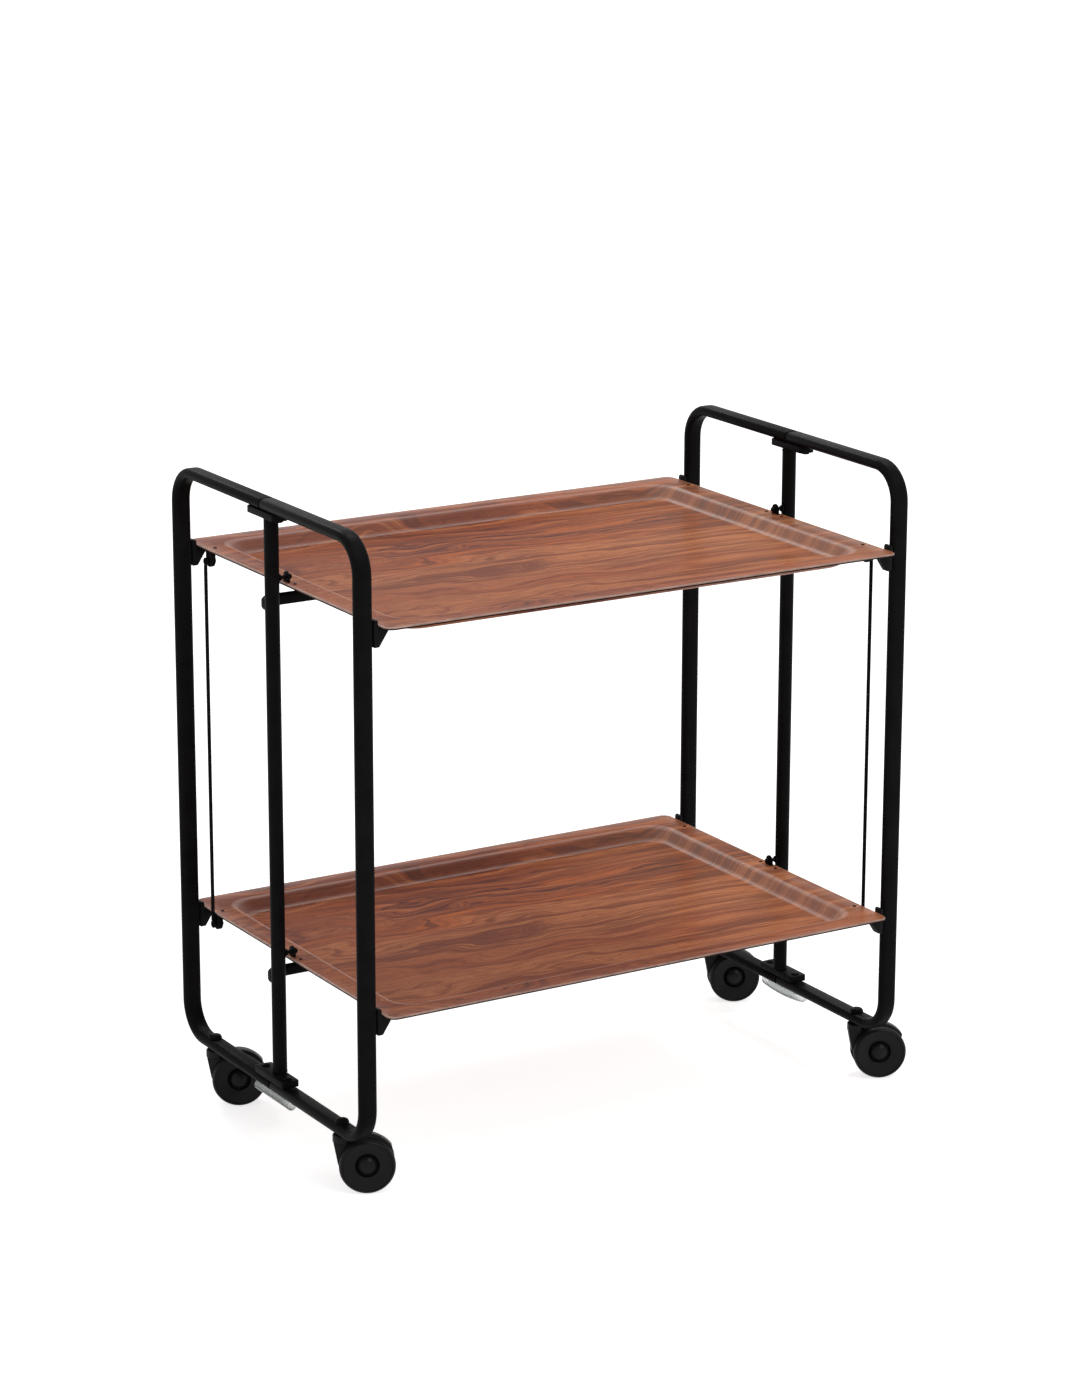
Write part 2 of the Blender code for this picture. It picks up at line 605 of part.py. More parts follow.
def spring_points(sag):
    """The wire's centre line: evenly pitched curls that may sag in the middle."""
    radius = SPRING_RADIUS - SPRING_WIRE
    pitch = (SPRING_LENGTH - 2 * SPRING_WIRE) / SPRING_CURLS
    total = SPRING_CURLS * SPRING_POINTS
    points = []
    for step in range(total + 1):
        angle = 2 * math.pi * step / SPRING_POINTS
        along = pitch * (step / SPRING_POINTS - SPRING_CURLS / 2)
        fall = sag * (1 - (2 * step / total - 1) ** 2)
        points.append((radius * math.sin(angle), along, radius * math.cos(angle) - fall))
    return points, pitch


def spring(side, side_sign, sag):
    name = f"{side}_hinge_spring"
    points, pitch = spring_points(sag)
    curve = bpy.data.curves.new(name, "CURVE")
    curve.dimensions = "3D"
    curve.bevel_depth = SPRING_WIRE
    curve.bevel_resolution = 1
    curve.use_fill_caps = True
    path = curve.splines.new("POLY")
    path.points.add(len(points) - 1)
    for point, place in zip(path.points, points):
        point.co = (*place, 1.0)
    mesh = mesh_of(curve, name)
    centre_z = BAR_LOW_UNDER - FIT_GAP - SPRING_RADIUS
    made = add(name, mesh, ZINC, base, (side_sign * (FRAME_X + SPRING_OUTSET), 0.0, centre_z))
    smooth(made, 80.0)
    return points, pitch


for (side, side_sign), sag in zip(SIDES, (0.0, SPRING_SAG)):
    wire, pitch = spring(side, side_sign, sag)
least = min((Vector(a) - Vector(b)).length for i, a in enumerate(wire)
            for b in wire[i + SPRING_POINTS // 2:i + 2 * SPRING_POINTS])
print(f"spring: least gap to itself {(least - 2 * SPRING_WIRE) * 1000:.2f} mm")



def caster_fork(name, swivel):
    """A collar under the bar, a stem through it and a curved web down to the axle."""
    axle = (TRAIL, WHEEL_RADIUS)
    rear = -COLLAR_RADIUS * WEB_REAR_SHARE
    crown = WHEEL_RADIUS + FENDER_GAP + FENDER_THICK
    points = [(rear, COLLAR_TOP), (rear, COLLAR_LOW), (TRAIL - WHEEL_RADIUS - WEB_BEYOND, WHEEL_RADIUS)]
    points += arc(axle, BOSS_RADIUS, -120, 10, 5)
    points += arc(axle, crown - FENDER_THICK, 30, 30, 1)[:1]
    points += arc(axle, crown, 34, 100, 6)
    points += [(COLLAR_RADIUS, COLLAR_TOP)]
    made = add(name, outline(name, points, 2 * WEB_HALF), CASTER, swivel, (0.0, 0.0, 0.0), STAND_XZ)
    collar = rod_mesh(f"{name}_collar", COLLAR_RADIUS, COLLAR_TALL, 20)
    combine(made, tool(f"{name}_collar", collar, swivel, (0.0, 0.0, COLLAR_LOW)), "UNION")
    stem_top = BAR_LOW_TOP + NUT_BORE_DEPTH
    stem = rod_mesh(f"{name}_stem", STEM_RADIUS, stem_top - COLLAR_LOW, 12)
    combine(made, tool(f"{name}_stem", stem, swivel, (0.0, 0.0, COLLAR_LOW)), "UNION")
    bore = rod_mesh(f"{name}_bore", AXLE_RADIUS + AXLE_PLAY, 2 * (WEB_HALF + CUT_OVERRUN), 16)
    place = (TRAIL, WEB_HALF + CUT_OVERRUN, WHEEL_RADIUS)
    combine(made, tool(f"{name}_bore", bore, swivel, place, STAND_XZ))


def caster_wheel(name, swivel):
    """Two dished discs with domed hubs on one axle."""
    gap = WEB_HALF + RUN_GAP
    dish = WHEEL_HALF - DISH_DEPTH
    (cap_share, drop_share), rise_share = HUB_SHARES
    half = [(0.0, WHEEL_HALF), (HUB_RADIUS * cap_share, WHEEL_HALF - DISH_DEPTH * drop_share),
            (HUB_RADIUS, dish + DISH_DEPTH * rise_share), (HUB_RADIUS, dish), (RING_INNER - TREAD_ROUND, dish),
            (RING_INNER, WHEEL_HALF - TREAD_ROUND), (WHEEL_RADIUS - TREAD_ROUND, WHEEL_HALF - TREAD_ROUND / 2),
            (WHEEL_RADIUS, WHEEL_HALF - 2 * TREAD_ROUND), (WHEEL_RADIUS, gap + TREAD_ROUND),
            (WHEEL_RADIUS - TREAD_ROUND, gap), (AXLE_RADIUS, gap)]
    profile = half + [(radius, -height) for radius, height in reversed(half)]
    made = add(name, turned(name, profile, 20), CASTER, swivel, (TRAIL, 0.0, WHEEL_RADIUS), STAND_XZ)
    smooth(made, 35.0)


def caster_nut(name, swivel):
    """A domed nut on the stem, over the bottom bar."""
    bore = STEM_RADIUS + FIT_GAP
    top = NUT_BORE_DEPTH + FIT_GAP
    profile = [(0.0, NUT_RISE)]
    profile += [(NUT_RADIUS * out_share, NUT_RISE * up_share) for out_share, up_share in NUT_SHARES]
    profile += [(NUT_RADIUS, 0.0), (bore, 0.0), (bore, top), (0.0, top)]
    made = add(name, turned(name, profile, 14), BLACK, swivel, (0.0, 0.0, BAR_LOW_TOP + FIT_GAP))
    smooth(made)


for side, side_sign in SIDES:
    for end, end_sign in ENDS:
        stem_place = (side_sign * FRAME_X, end_sign * STEM_Y, 0.0)
        swivel = empty(f"{side}_{end}_swivel", stem_place, base, TRAIL_ANGLE)
        caster_fork(f"{side}_{end}_caster_fork", swivel)
        caster_wheel(f"{side}_{end}_caster_wheel", swivel)
        caster_nut(f"{side}_{end}_caster_nut", swivel)

bpy.context.view_layer.update()
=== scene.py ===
"""Looks for a folding serving trolley: two wood-patterned trays in a pair of black tube frames.

The solid model is loaded first, and every piece here takes its place from one of its nodes.
Each operator models one kind of piece, as by hand, and lays it on the body that carries it.
Lengths are in metres, and angles that are written out are in degrees.
"""

import json
import math

import bmesh
import bpy
from mathutils import Matrix, Vector


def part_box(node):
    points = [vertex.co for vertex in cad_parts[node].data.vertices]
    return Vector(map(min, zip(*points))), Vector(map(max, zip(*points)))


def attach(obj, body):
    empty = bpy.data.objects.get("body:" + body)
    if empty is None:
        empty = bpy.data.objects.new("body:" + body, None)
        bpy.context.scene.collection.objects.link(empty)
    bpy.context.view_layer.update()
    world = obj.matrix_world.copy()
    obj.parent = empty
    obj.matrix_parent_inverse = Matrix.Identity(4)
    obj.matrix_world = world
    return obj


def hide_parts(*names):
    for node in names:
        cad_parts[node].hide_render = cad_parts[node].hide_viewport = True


bl_info = {
    "name": "Folding serving trolley",
    "version": (1, 0, 0),
    "blender": (4, 5, 0),
    "location": "View3D > Sidebar > Trolley",
    "description": "Models the trays, tube frames, hinges and casters of a folding serving trolley",
    "category": "Add Mesh",
}

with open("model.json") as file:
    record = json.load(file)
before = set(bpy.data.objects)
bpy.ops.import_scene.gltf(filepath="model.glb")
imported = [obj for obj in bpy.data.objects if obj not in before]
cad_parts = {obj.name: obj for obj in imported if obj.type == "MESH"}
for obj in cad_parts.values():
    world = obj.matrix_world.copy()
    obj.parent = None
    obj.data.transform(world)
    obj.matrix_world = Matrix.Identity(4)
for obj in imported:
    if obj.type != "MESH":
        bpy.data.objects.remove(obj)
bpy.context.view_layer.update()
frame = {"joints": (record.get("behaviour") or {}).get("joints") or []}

SIDES = (("left", -1), ("right", 1))
ENDS = ("front", "rear")
LEVELS = ("upper", "lower")
QUARTERS = ((1, 1), (-1, 1), (-1, -1), (1, -1))
RIGHT = (1.0, 0.0, 0.0)
UP = (0.0, 0.0, 1.0)
WHITE = (1.0, 1.0, 1.0, 1.0)


# Places read from the solid model


def middle(node):
    low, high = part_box(node)
    return (low + high) / 2


def centre_x():
    """The middle plane between the two side frames."""
    return (middle("left_middle_post").x + middle("right_middle_post").x) / 2


def outer_x(low, high, sign):
    """Where a box ends on the right, or on the left for a negative sign."""
    return high.x if sign > 0 else low.x


def joint_place(name):
    """A joint's point and its axis."""
    for joint in frame["joints"]:
        if joint["name"] == name:
            return Vector(joint["pos_m"]), Vector(joint["axis"])
    raise RuntimeError(f"the model has no joint named {name}")


# Outlines and profiles


def polar(centre, radius, angle):
    """A point of a circle in a plane."""
    turn = math.radians(angle)
    return centre[0] + radius * math.cos(turn), centre[1] + radius * math.sin(turn)


def arc(centre, radius, first, last, steps):
    """Points of a circle from one angle to another."""
    return [polar(centre, radius, first + (last - first) * step / steps) for step in range(steps + 1)]


def rounded(half_x, half_y, corner, steps):
    """A rectangle with round corners, about its centre."""
    outline = []
    for quarter, (sign_x, sign_y) in enumerate(QUARTERS):
        hub = (sign_x * (half_x - corner), sign_y * (half_y - corner))
        outline += arc(hub, corner, 90 * quarter, 90 * quarter + 90, steps)
    return outline


def tab_outline(half, base):
    """A tab with one round end, about the centre of that end; its base lies above or below."""
    last = 180 if base < 0 else -180
    return [(half, base)] + arc((0.0, 0.0), half, 0, last, 14) + [(-half, base)]


def profile(radius, height, steps):
    """Rings of a lathe, each given by how far it lies from one radius and height."""
    return [(radius + out, height + along) for out, along in steps]


def dome(radius, base, rise, angles):
    """Rings of a lathe over a crown, at these angles up from its foot."""
    return [(radius * math.cos(math.radians(angle)), base + rise * math.sin(math.radians(angle)))
            for angle in angles]


# Modelling by hand


def alone(piece):
    """Select one piece and nothing else."""
    bpy.ops.object.select_all(action="DESELECT")
    piece.select_set(True)
    bpy.context.view_layer.objects.active = piece


def reopen(piece):
    """Go back to editing one piece."""
    alone(piece)
    bpy.ops.object.mode_set(mode="EDIT")


def selection(kind, action):
    """Work with vertices, edges or faces, and select all of them or none."""
    bpy.ops.mesh.select_mode(type=kind)
    bpy.ops.mesh.select_all(action=action)


def start(shape, name, **where):
    """Add one primitive by itself and open it for editing, all of it selected."""
    bpy.ops.object.select_all(action="DESELECT")
    shape(**where)
    piece = bpy.context.object
    piece.name = name
    piece.data.name = name
    bpy.ops.object.transform_apply(location=True, rotation=True, scale=True)
    bpy.ops.object.mode_set(mode="EDIT")
    bpy.ops.mesh.select_all(action="SELECT")
    return piece


def stop(piece):
    """Close the edit with every face turned outwards."""
    bpy.ops.mesh.select_all(action="SELECT")
    bpy.ops.mesh.normals_make_consistent(inside=False)
    bpy.ops.object.mode_set(mode="OBJECT")
    return piece


def pick(piece, kind, wanted):
    """Select the vertices, edges or faces that pass a test."""
    selection(kind, "DESELECT")
    form = bmesh.from_edit_mesh(piece.data)
    for part in {"VERT": form.verts, "EDGE": form.edges, "FACE": form.faces}[kind]:
        if wanted(part):
            part.select_set(True)
    form.select_flush_mode()
    bmesh.update_edit_mesh(piece.data)


def pull(offset):
    """Extrude what is selected along a straight line."""
    bpy.ops.mesh.extrude_region_move(TRANSFORM_OT_translate={"value": tuple(offset)})


def grow(factor, centre):
    bpy.ops.transform.resize(value=factor, center_override=tuple(centre))


def bend(angle, centre, axis, steps):
    """Spin the selected end face round a corner."""
    bpy.ops.mesh.spin(steps=steps, angle=math.radians(angle), center=tuple(centre), axis=axis)


def shape_with(piece, kind, **values):
    """Add a modifier and apply it."""
    step = piece.modifiers.new(kind.lower(), kind)
    for key, value in values.items():
        setattr(step, key, value)
    alone(piece)
    bpy.ops.object.modifier_apply(modifier=step.name)


def soften(piece, width, segments=2, angle=40.0):
    """Round the sharp edges a little."""
    shape_with(piece, "BEVEL", width=width, segments=segments, limit_method="ANGLE",
               angle_limit=math.radians(angle), use_clamp_overlap=True, miter_outer="MITER_ARC")


def stadium(name, centre, half_long, half_short, along, vertices):
    """A flat face across Y with round ends, longer along one axis; the start of a flat-oval tube."""
    piece = start(bpy.ops.mesh.primitive_circle_add, name, vertices=vertices, radius=half_short,
                  fill_type="NGON", location=centre, rotation=(math.pi / 2, 0.0, 0.0))
    near = half_short / 100
    for sign in (-1, 1):
        pick(piece, "VERT", lambda vert: (vert.co[along] - centre[along]) * sign > near)
        shift = [0.0, 0.0, 0.0]
        shift[along] = sign * (half_long - half_short)
        bpy.ops.transform.translate(value=shift)
    selection("FACE", "SELECT")
    return piece


def lathe(name, rings, segments):
    """A round form on the Z axis: each ring is extruded from the one before and scaled."""
    before_radius, before_height = rings[0]
    piece = start(bpy.ops.mesh.primitive_circle_add, name, vertices=segments, radius=before_radius,
                  fill_type="NGON", location=(0, 0, before_height))
    bpy.ops.mesh.select_mode(type="FACE")
    for radius, height in rings[1:]:
        pull((0.0, 0.0, height - before_height))
        factor = radius / before_radius
        grow((factor, factor, 1.0), (0.0, 0.0, 0.0))
        before_radius, before_height = radius, height
    return stop(piece)


def plate(name, outline, thickness):
    """A flat plate in XY: a ring of vertices is set on the outline, filled and extruded along Z."""
    piece = start(bpy.ops.mesh.primitive_circle_add, name, vertices=len(outline), radius=1.0,
                  fill_type="NGON", location=(0, 0, 0))
    form = bmesh.from_edit_mesh(piece.data)
    form.verts.ensure_lookup_table()
    for vert, (x, y) in zip(form.verts, outline):
        vert.co = (x, y, -thickness / 2)
    bmesh.update_edit_mesh(piece.data)
    selection("FACE", "SELECT")
    pull((0.0, 0.0, thickness))
    return stop(piece)


def stand(piece, place, axis, up=None):
    """Turn a piece's Z axis along a direction, and put it in place."""
    forward = Vector(axis).normalized()
    if up is None:
        turn = forward.to_track_quat("Z", "Y").to_matrix().to_4x4()
    else:
        side = Vector(up).cross(forward).normalized()
        turn = Matrix((side, forward.cross(side), forward)).transposed().to_4x4()
    piece.matrix_world = Matrix.Translation(Vector(place)) @ turn
    alone(piece)
    bpy.ops.object.transform_apply(location=True, rotation=True, scale=True)


def turned(name, rings, segments, place, axis=UP):
    """Lathe work, put in place along its axis."""
    piece = lathe(name, rings, segments)
    stand(piece, place, axis)
    return piece


def moved(piece, shift):
    """Move a piece's mesh, and leave its object at the origin."""
    piece.data.transform(Matrix.Translation(Vector(shift)))
    return piece


def copied(piece, name):
    """A copy with its own mesh."""
    made = piece.copy()
    made.data = piece.data.copy()
    made.name = name
    made.data.name = name
    bpy.context.collection.objects.link(made)
    return made


def mirrored(piece, name, axis, plane):
    """A copy on the other side of a plane across X or Y, facing outwards again."""
    made = copied(piece, name)
    flip = [1.0, 1.0, 1.0, 1.0]
    flip[axis] = -1.0
    shift = Vector((0.0, 0.0, 0.0))
    shift[axis] = 2 * plane
    made.data.transform(Matrix.Translation(shift) @ Matrix.Diagonal(flip))
    made.data.flip_normals()
    return made


def joined(name, pieces):
    """Several shells as one piece."""
    alone(pieces[0])
    for piece in pieces[1:]:
        piece.select_set(True)
    bpy.ops.object.join()
    pieces[0].name = name
    pieces[0].data.name = name
    return pieces[0]


def cover(piece, *finishes):
    """Give a piece its materials in place of any that it has."""
    piece.data.materials.clear()
    for finish in finishes:
        piece.data.materials.append(finish)


def dress(piece, body, node=None, finish=None, angle=35.0):
    """Smooth a finished piece, give it its finish, hide the node it stands for and put it on what carries
    it.
    """
    alone(piece)
    bpy.ops.object.shade_smooth_by_angle(angle=math.radians(angle))
    if finish:
        cover(piece, finish)
    if node:
        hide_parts(node)
    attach(piece, body)


# Materials


def shade(colour, factor):
    """A darker or lighter colour."""
    return tuple(level * factor for level in colour)


class Nodes:
    """A node tree under construction."""

    def __init__(self, tree):
        self.tree = tree

    def add(self, kind, **values):
        """One node. Values named in_N go to its input N, the rest to the node itself."""
        node = self.tree.nodes.new(kind)
        for key, value in values.items():
            if key.startswith("in_"):
                node.inputs[key[3:].replace("_", " ")].default_value = value
            else:
                setattr(node, key, value)
        return node

    def link(self, source, target):
        self.tree.links.new(source, target)

    def places(self, scale=(1.0, 1.0, 1.0), shift=(0.0, 0.0, 0.0)):
        """Object coordinates, stretched."""
        where = self.add("ShaderNodeTexCoord")
        stretch = self.add("ShaderNodeMapping", in_Scale=scale, in_Location=shift)
        self.link(where.outputs["Object"], stretch.inputs["Vector"])
        return stretch.outputs["Vector"]

    def noise(self, vector, scale, detail=4.0, rough=0.5, distortion=0.0):
        made = self.add("ShaderNodeTexNoise", in_Scale=scale, in_Detail=detail, in_Roughness=rough,
                        in_Distortion=distortion)
        self.link(vector, made.inputs["Vector"])
        return made.outputs["Fac"]

    def ramp(self, factor, stops):
        """Colours or grey levels along a factor."""
        made = self.add("ShaderNodeValToRGB")
        band = made.color_ramp
        band.elements[0].position = stops[0][0]
        band.elements[1].position = stops[-1][0]
        for place, _ in stops[1:-1]:
            band.elements.new(place)
        for element, (_, colour) in zip(band.elements, stops):
            level = (colour,) * 3 if isinstance(colour, float) else colour
            element.color = (*level, 1.0)
        self.link(factor, made.inputs["Fac"])
        return made.outputs["Color"]

    def maths(self, operation, first, second):
        made = self.add("ShaderNodeMath", operation=operation)
        for socket, value in zip(made.inputs, (first, second)):
            if isinstance(value, float):
                socket.default_value = value
            else:
                self.link(value, socket)
        return made.outputs[0]

    def times(self, first, second):
        return self.maths("MULTIPLY", first, second)

    def plus(self, first, second):
        return self.maths("ADD", first, second)

    def mix(self, factor, first, second, blend="MIX"):
        made = self.add("ShaderNodeMix", data_type="RGBA", blend_type=blend)
        for socket, value in ((made.inputs[0], factor), (made.inputs[6], first), (made.inputs[7], second)):
            if isinstance(value, float):
                socket.default_value = value
            elif isinstance(value, tuple):
                socket.default_value = (*value, 1.0)
            else:
                self.link(value, socket)
        return made.outputs[2]

    def veil(self, tone, factor, stops, colour):
        """A colour laid over the tone where a factor's ramp lets it show."""
        return self.mix(self.ramp(factor, stops), tone, colour)

    def between(self, factor, low, high, target):
        """Let a factor move a socket between two limits."""
        made = self.add("ShaderNodeMapRange")
        made.inputs["To Min"].default_value = low
        made.inputs["To Max"].default_value = high
        self.link(factor, made.inputs["Value"])
        self.link(made.outputs["Result"], target)

    def seen(self, *kinds):
        """1 for a ray of one of these kinds, and 0 for the rest."""
        path = self.add("ShaderNodeLightPath")
        rays = [path.outputs[f"Is {kind} Ray"] for kind in kinds]
        mask = rays[0]
        for ray in rays[1:]:
            mask = self.maths("MAXIMUM", mask, ray)
        return mask


class Recipe(Nodes):
    """A surface material: the shader's plain values, then its links."""

    def __init__(self, name, colour, roughness, **values):
        self.material = bpy.data.materials.new(name)
        self.material.use_nodes = True
        super().__init__(self.material.node_tree)
        self.shader = self.tree.nodes["Principled BSDF"]
        self.shader.inputs["Base Color"].default_value = (*colour, 1.0)
        self.shader.inputs["Roughness"].default_value = roughness
        for key, value in values.items():
            self.shader.inputs[key.replace("_", " ")].default_value = value

    def paint(self, tone):
        self.link(tone, self.shader.inputs["Base Color"])

    def vary(self, socket, factor, low, high):
        """Let a factor move one of the shader's values between two limits."""
        self.between(factor, low, high, self.shader.inputs[socket])

    def bump(self, height, strength, distance=0.0002):
        made = self.add("ShaderNodeBump", in_Strength=strength, in_Distance=distance)
        self.link(height, made.inputs["Height"])
        self.link(made.outputs["Normal"], self.shader.inputs["Normal"])


def enamel(name, colour, roughness):
    """Satin black stoving enamel on tube, with faint orange peel and dust in its gloss."""
    made = Recipe(name, colour, roughness, Specular_IOR_Level=0.02)
    peel = made.noise(made.places(), 900.0, 2.0)
    cloud = made.noise(made.places(), 38.0, 5.0, 0.6)
    made.paint(made.veil(colour, cloud, ((0.35, 0.0), (0.75, 1.0)), shade(colour, 1.7)))
    made.vary("Roughness", cloud, roughness - 0.07, roughness + 0.07)
    made.bump(peel, 0.12)
    return made.material


def moulded(name, colour, roughness, grain, shine=0.06):
    """Black moulded plastic with a fine spark-eroded grain."""
    made = Recipe(name, colour, roughness, Specular_IOR_Level=shine)
    grit = made.noise(made.places(), grain, 3.0, 0.6)
    cloud = made.noise(made.places(), 60.0, 4.0)
    made.paint(made.mix(cloud, colour, shade(colour, 1.5)))
    made.vary("Roughness", cloud, roughness - 0.06, roughness + 0.08)
    made.bump(grit, 0.18, 0.00025)
    return made.material


def plated(name, colour, roughness):
    """Bright zinc on wire, slightly clouded."""
    made = Recipe(name, colour, roughness, Metallic=1.0)
    cloud = made.noise(made.places(), 240.0, 5.0, 0.6)
    tone = made.veil(shade(colour, 0.82), cloud, ((0.3, 0.0), (0.7, 1.0)), colour)
    # Painted shade: the valleys between the curls are darkened wherever ambient occlusion finds them.
    crevice = made.add("ShaderNodeAmbientOcclusion", samples=8, in_Distance=0.0016)
    shadow = made.ramp(crevice.outputs["AO"], ((0.35, 0.10), (0.80, 1.0)))
    made.paint(made.mix(1.0, tone, shadow, "MULTIPLY"))
    made.vary("Roughness", cloud, roughness + 0.12, roughness - 0.05)
    made.bump(cloud, 0.06)
    return made.material


def pressed_edge(name, colour):
    """The dark core of the pressed sheet, seen at its cut edge."""
    made = Recipe(name, colour, 0.5, Specular_IOR_Level=0.04)
    layers = made.noise(made.places((0.4, 0.4, 12.0)), 320.0, 3.0)
    made.paint(made.mix(layers, colour, shade(colour, 2.2)))
    return made.material


def edge_highlight_paint(name, colour):
    """A pale pink painted highlight along the rolled upper edge, where it catches the light."""
    made = Recipe(name, colour, 0.42, Specular_IOR_Level=0.2)
    blotch = made.noise(made.places(), 60.0, 5.0, 0.65)
    made.paint(made.veil(shade(colour, 0.62), blotch, ((0.34, 0.0), (0.62, 1.0)), colour))
    made.bump(blotch, 0.05)
    return made.material


def rosewood(name, light, warm, dark, roughness):
    """Rosewood-pattern laminate: colour zones from front to rear, straight streaks and growth lines, with
    painted sheen and painted light laid over them.
    """
    made = Recipe(name, warm, roughness, Specular_IOR_Level=0.01)
    where = made.add("ShaderNodeTexCoord")
    split = made.add("ShaderNodeSeparateXYZ")
    made.link(where.outputs["Object"], split.inputs[0])
    x = split.outputs["X"]
    across, flow = grain(made, x, split.outputs["Y"])
    zone = made.plus(made.times(across, 2.2), 0.5)
    red = tuple(a * 0.55 + b * 0.45 for a, b in zip(warm, dark))
    tone, streak = zones_and_streaks(made, zone, flow, light, warm, red)
    tone, pores = growth_lines(made, tone, zone, flow, red, dark)
    tone = side_light(made, tone, x)
    sheen(made, tone, where.outputs["Normal"], streak, roughness)
    made.bump(pores, 0.08)
    return made.material


def grain(made, x, y):
    """Where a point lies across the grain, which slow waves push sideways, most of all at the left."""
    wander = made.ramp(made.plus(x, 0.5), ((0.15, 1.0), (0.62, 0.16)))
    slow = made.noise(made.places((1.0, 2.2, 0.0)), 5.0, 2.0, 0.5)
    broad = made.noise(made.places((2.2, 9.0, 0.0), (0.3, 0.1, 0.0)), 3.2, 2.0, 0.5, 0.3)
    sway = made.times(made.maths("SUBTRACT", slow, 0.5), 0.22)
    ripple = made.times(made.maths("SUBTRACT", broad, 0.5), 0.10)
    push = made.times(made.plus(sway, ripple), wander)
    tilt = made.times(x, 0.05)
    across = made.plus(made.plus(y, push), tilt)
    along = made.times(x, 0.05)
    flow = made.add("ShaderNodeCombineXYZ")
    made.link(along, flow.inputs[0])
    made.link(across, flow.inputs[1])
    return across, flow.outputs[0]


def zones_and_streaks(made, zone, flow, light, warm, red):
    """Reddish at the front, tan in the middle, then orange and dark bands, with streaks of two widths."""
    orange = (light[0], light[1] * 0.72, light[2] * 0.45)
    tone = made.ramp(zone, (
        (0.04, warm), (0.20, light), (0.30, warm), (0.40, light), (0.56, light),
        (0.62, orange), (0.70, red), (0.76, orange), (0.84, red), (0.95, warm)))
    streak = made.noise(flow, 44.0, 4.0, 0.64, 0.1)
    tone = made.veil(tone, streak, ((0.40, 1.0), (0.48, 0.0)), shade(red, 0.8))
    tone = made.veil(tone, streak, ((0.52, 0.0), (0.60, 0.85)), light)
    thin = made.noise(flow, 88.0, 4.0, 0.66)
    return made.veil(tone, thin, ((0.42, 0.80), (0.48, 0.0)), red), streak


def growth_lines(made, tone, zone, flow, red, dark):
    """Dark purple-brown lines, crowded in some bands and absent in others, then hair lines and pores."""
    lines = made.noise(flow, 128.0, 4.0, 0.66)
    bands = made.ramp(made.noise(flow, 16.0, 2.0), ((0.42, 0.25), (0.56, 1.0)))
    crowd = made.ramp(zone, ((0.02, 0.70), (0.30, 0.45), (0.50, 0.40), (0.60, 1.0), (0.95, 1.0)))
    sharp = made.ramp(lines, ((0.44, 1.0), (0.485, 0.0)))
    tone = made.mix(made.times(sharp, made.times(bands, crowd)), tone, shade(dark, 0.85))
    hair = made.noise(flow, 270.0, 3.0, 0.7)
    tone = made.veil(tone, hair, ((0.42, 0.36), (0.50, 0.0)), red)
    fine = made.noise(made.places((0.014, 1.0, 0.0)), 620.0, 3.0, 0.6)
    tone = made.veil(tone, fine, ((0.38, 0.50), (0.52, 0.0)), dark)
    pores = made.noise(made.places((0.05, 1.0, 0.0)), 1100.0, 2.0, 0.6)
    return made.veil(tone, pores, ((0.30, 0.55), (0.42, 0.0)), shade(dark, 0.4)), pores


def side_light(made, tone, x):
    """Painted light: a pale painted sheen washes over the pattern at the left, and the right is painted
    brighter.
    """
    # Painted light: the pale sheen for the left side and the brighter light for the right side.
    painted_sheen_left, bright = (0.27, 0.125, 0.090), (0.46, 0.235, 0.128)
    tone = made.veil(tone, made.plus(made.times(x, -1.3), 0.1), ((0.0, 0.0), (0.5, 0.30)), painted_sheen_left)
    rightward = made.ramp(made.plus(x, 0.5), ((0.50, 0.0), (0.82, 1.0)))
    lift = made.plus(made.times(rightward, 0.30), 1.08)
    tone = made.mix(1.0, tone, lift, "MULTIPLY")
    return made.mix(made.times(rightward, 0.30), tone, bright)


def sheen(made, tone, normal, streak, roughness):
    """The bends of the pressed wall gloss more than the flats, and a pale painted sheen is laid into their
    colour, most where they face left.
    """
    painted_sheen = (0.64, 0.45, 0.38)
    facing = made.add("ShaderNodeSeparateXYZ")
    made.link(normal, facing.inputs[0])
    bends = made.ramp(facing.outputs["Z"], (
        (0.50, 0.30), (0.66, 0.50), (0.88, 1.0), (0.98, 0.80), (0.9995, 0.0)))
    made.vary("Specular IOR Level", bends, 0.01, 0.26)
    # Painted sheen: the pale colour is mixed into the bends, most on those that face left.
    leftward = made.maths("MAXIMUM", made.times(facing.outputs["X"], -0.62), 0.10)
    made.paint(made.mix(made.times(bends, leftward), tone, painted_sheen))
    dull = made.plus(made.times(streak, 0.11), made.times(bends, 0.16))
    made.vary("Roughness", dull, roughness - 0.04, roughness + 0.96)


# Sizes and colours that a user would change


def length_setting(name, description, default):
    return bpy.props.FloatProperty(name=name, description=description, default=default, unit="LENGTH")


def angle_setting(name, description, degrees):
    return bpy.props.FloatProperty(name=name, description=description, default=math.radians(degrees),
                                   unit="ROTATION")


def share_setting(name, description, default):
    return bpy.props.FloatProperty(name=name, description=description, default=default, subtype="FACTOR")


def colour_setting(name, description, default):
    return bpy.props.FloatVectorProperty(name=name, description=description, default=default,
                                         subtype="COLOR")


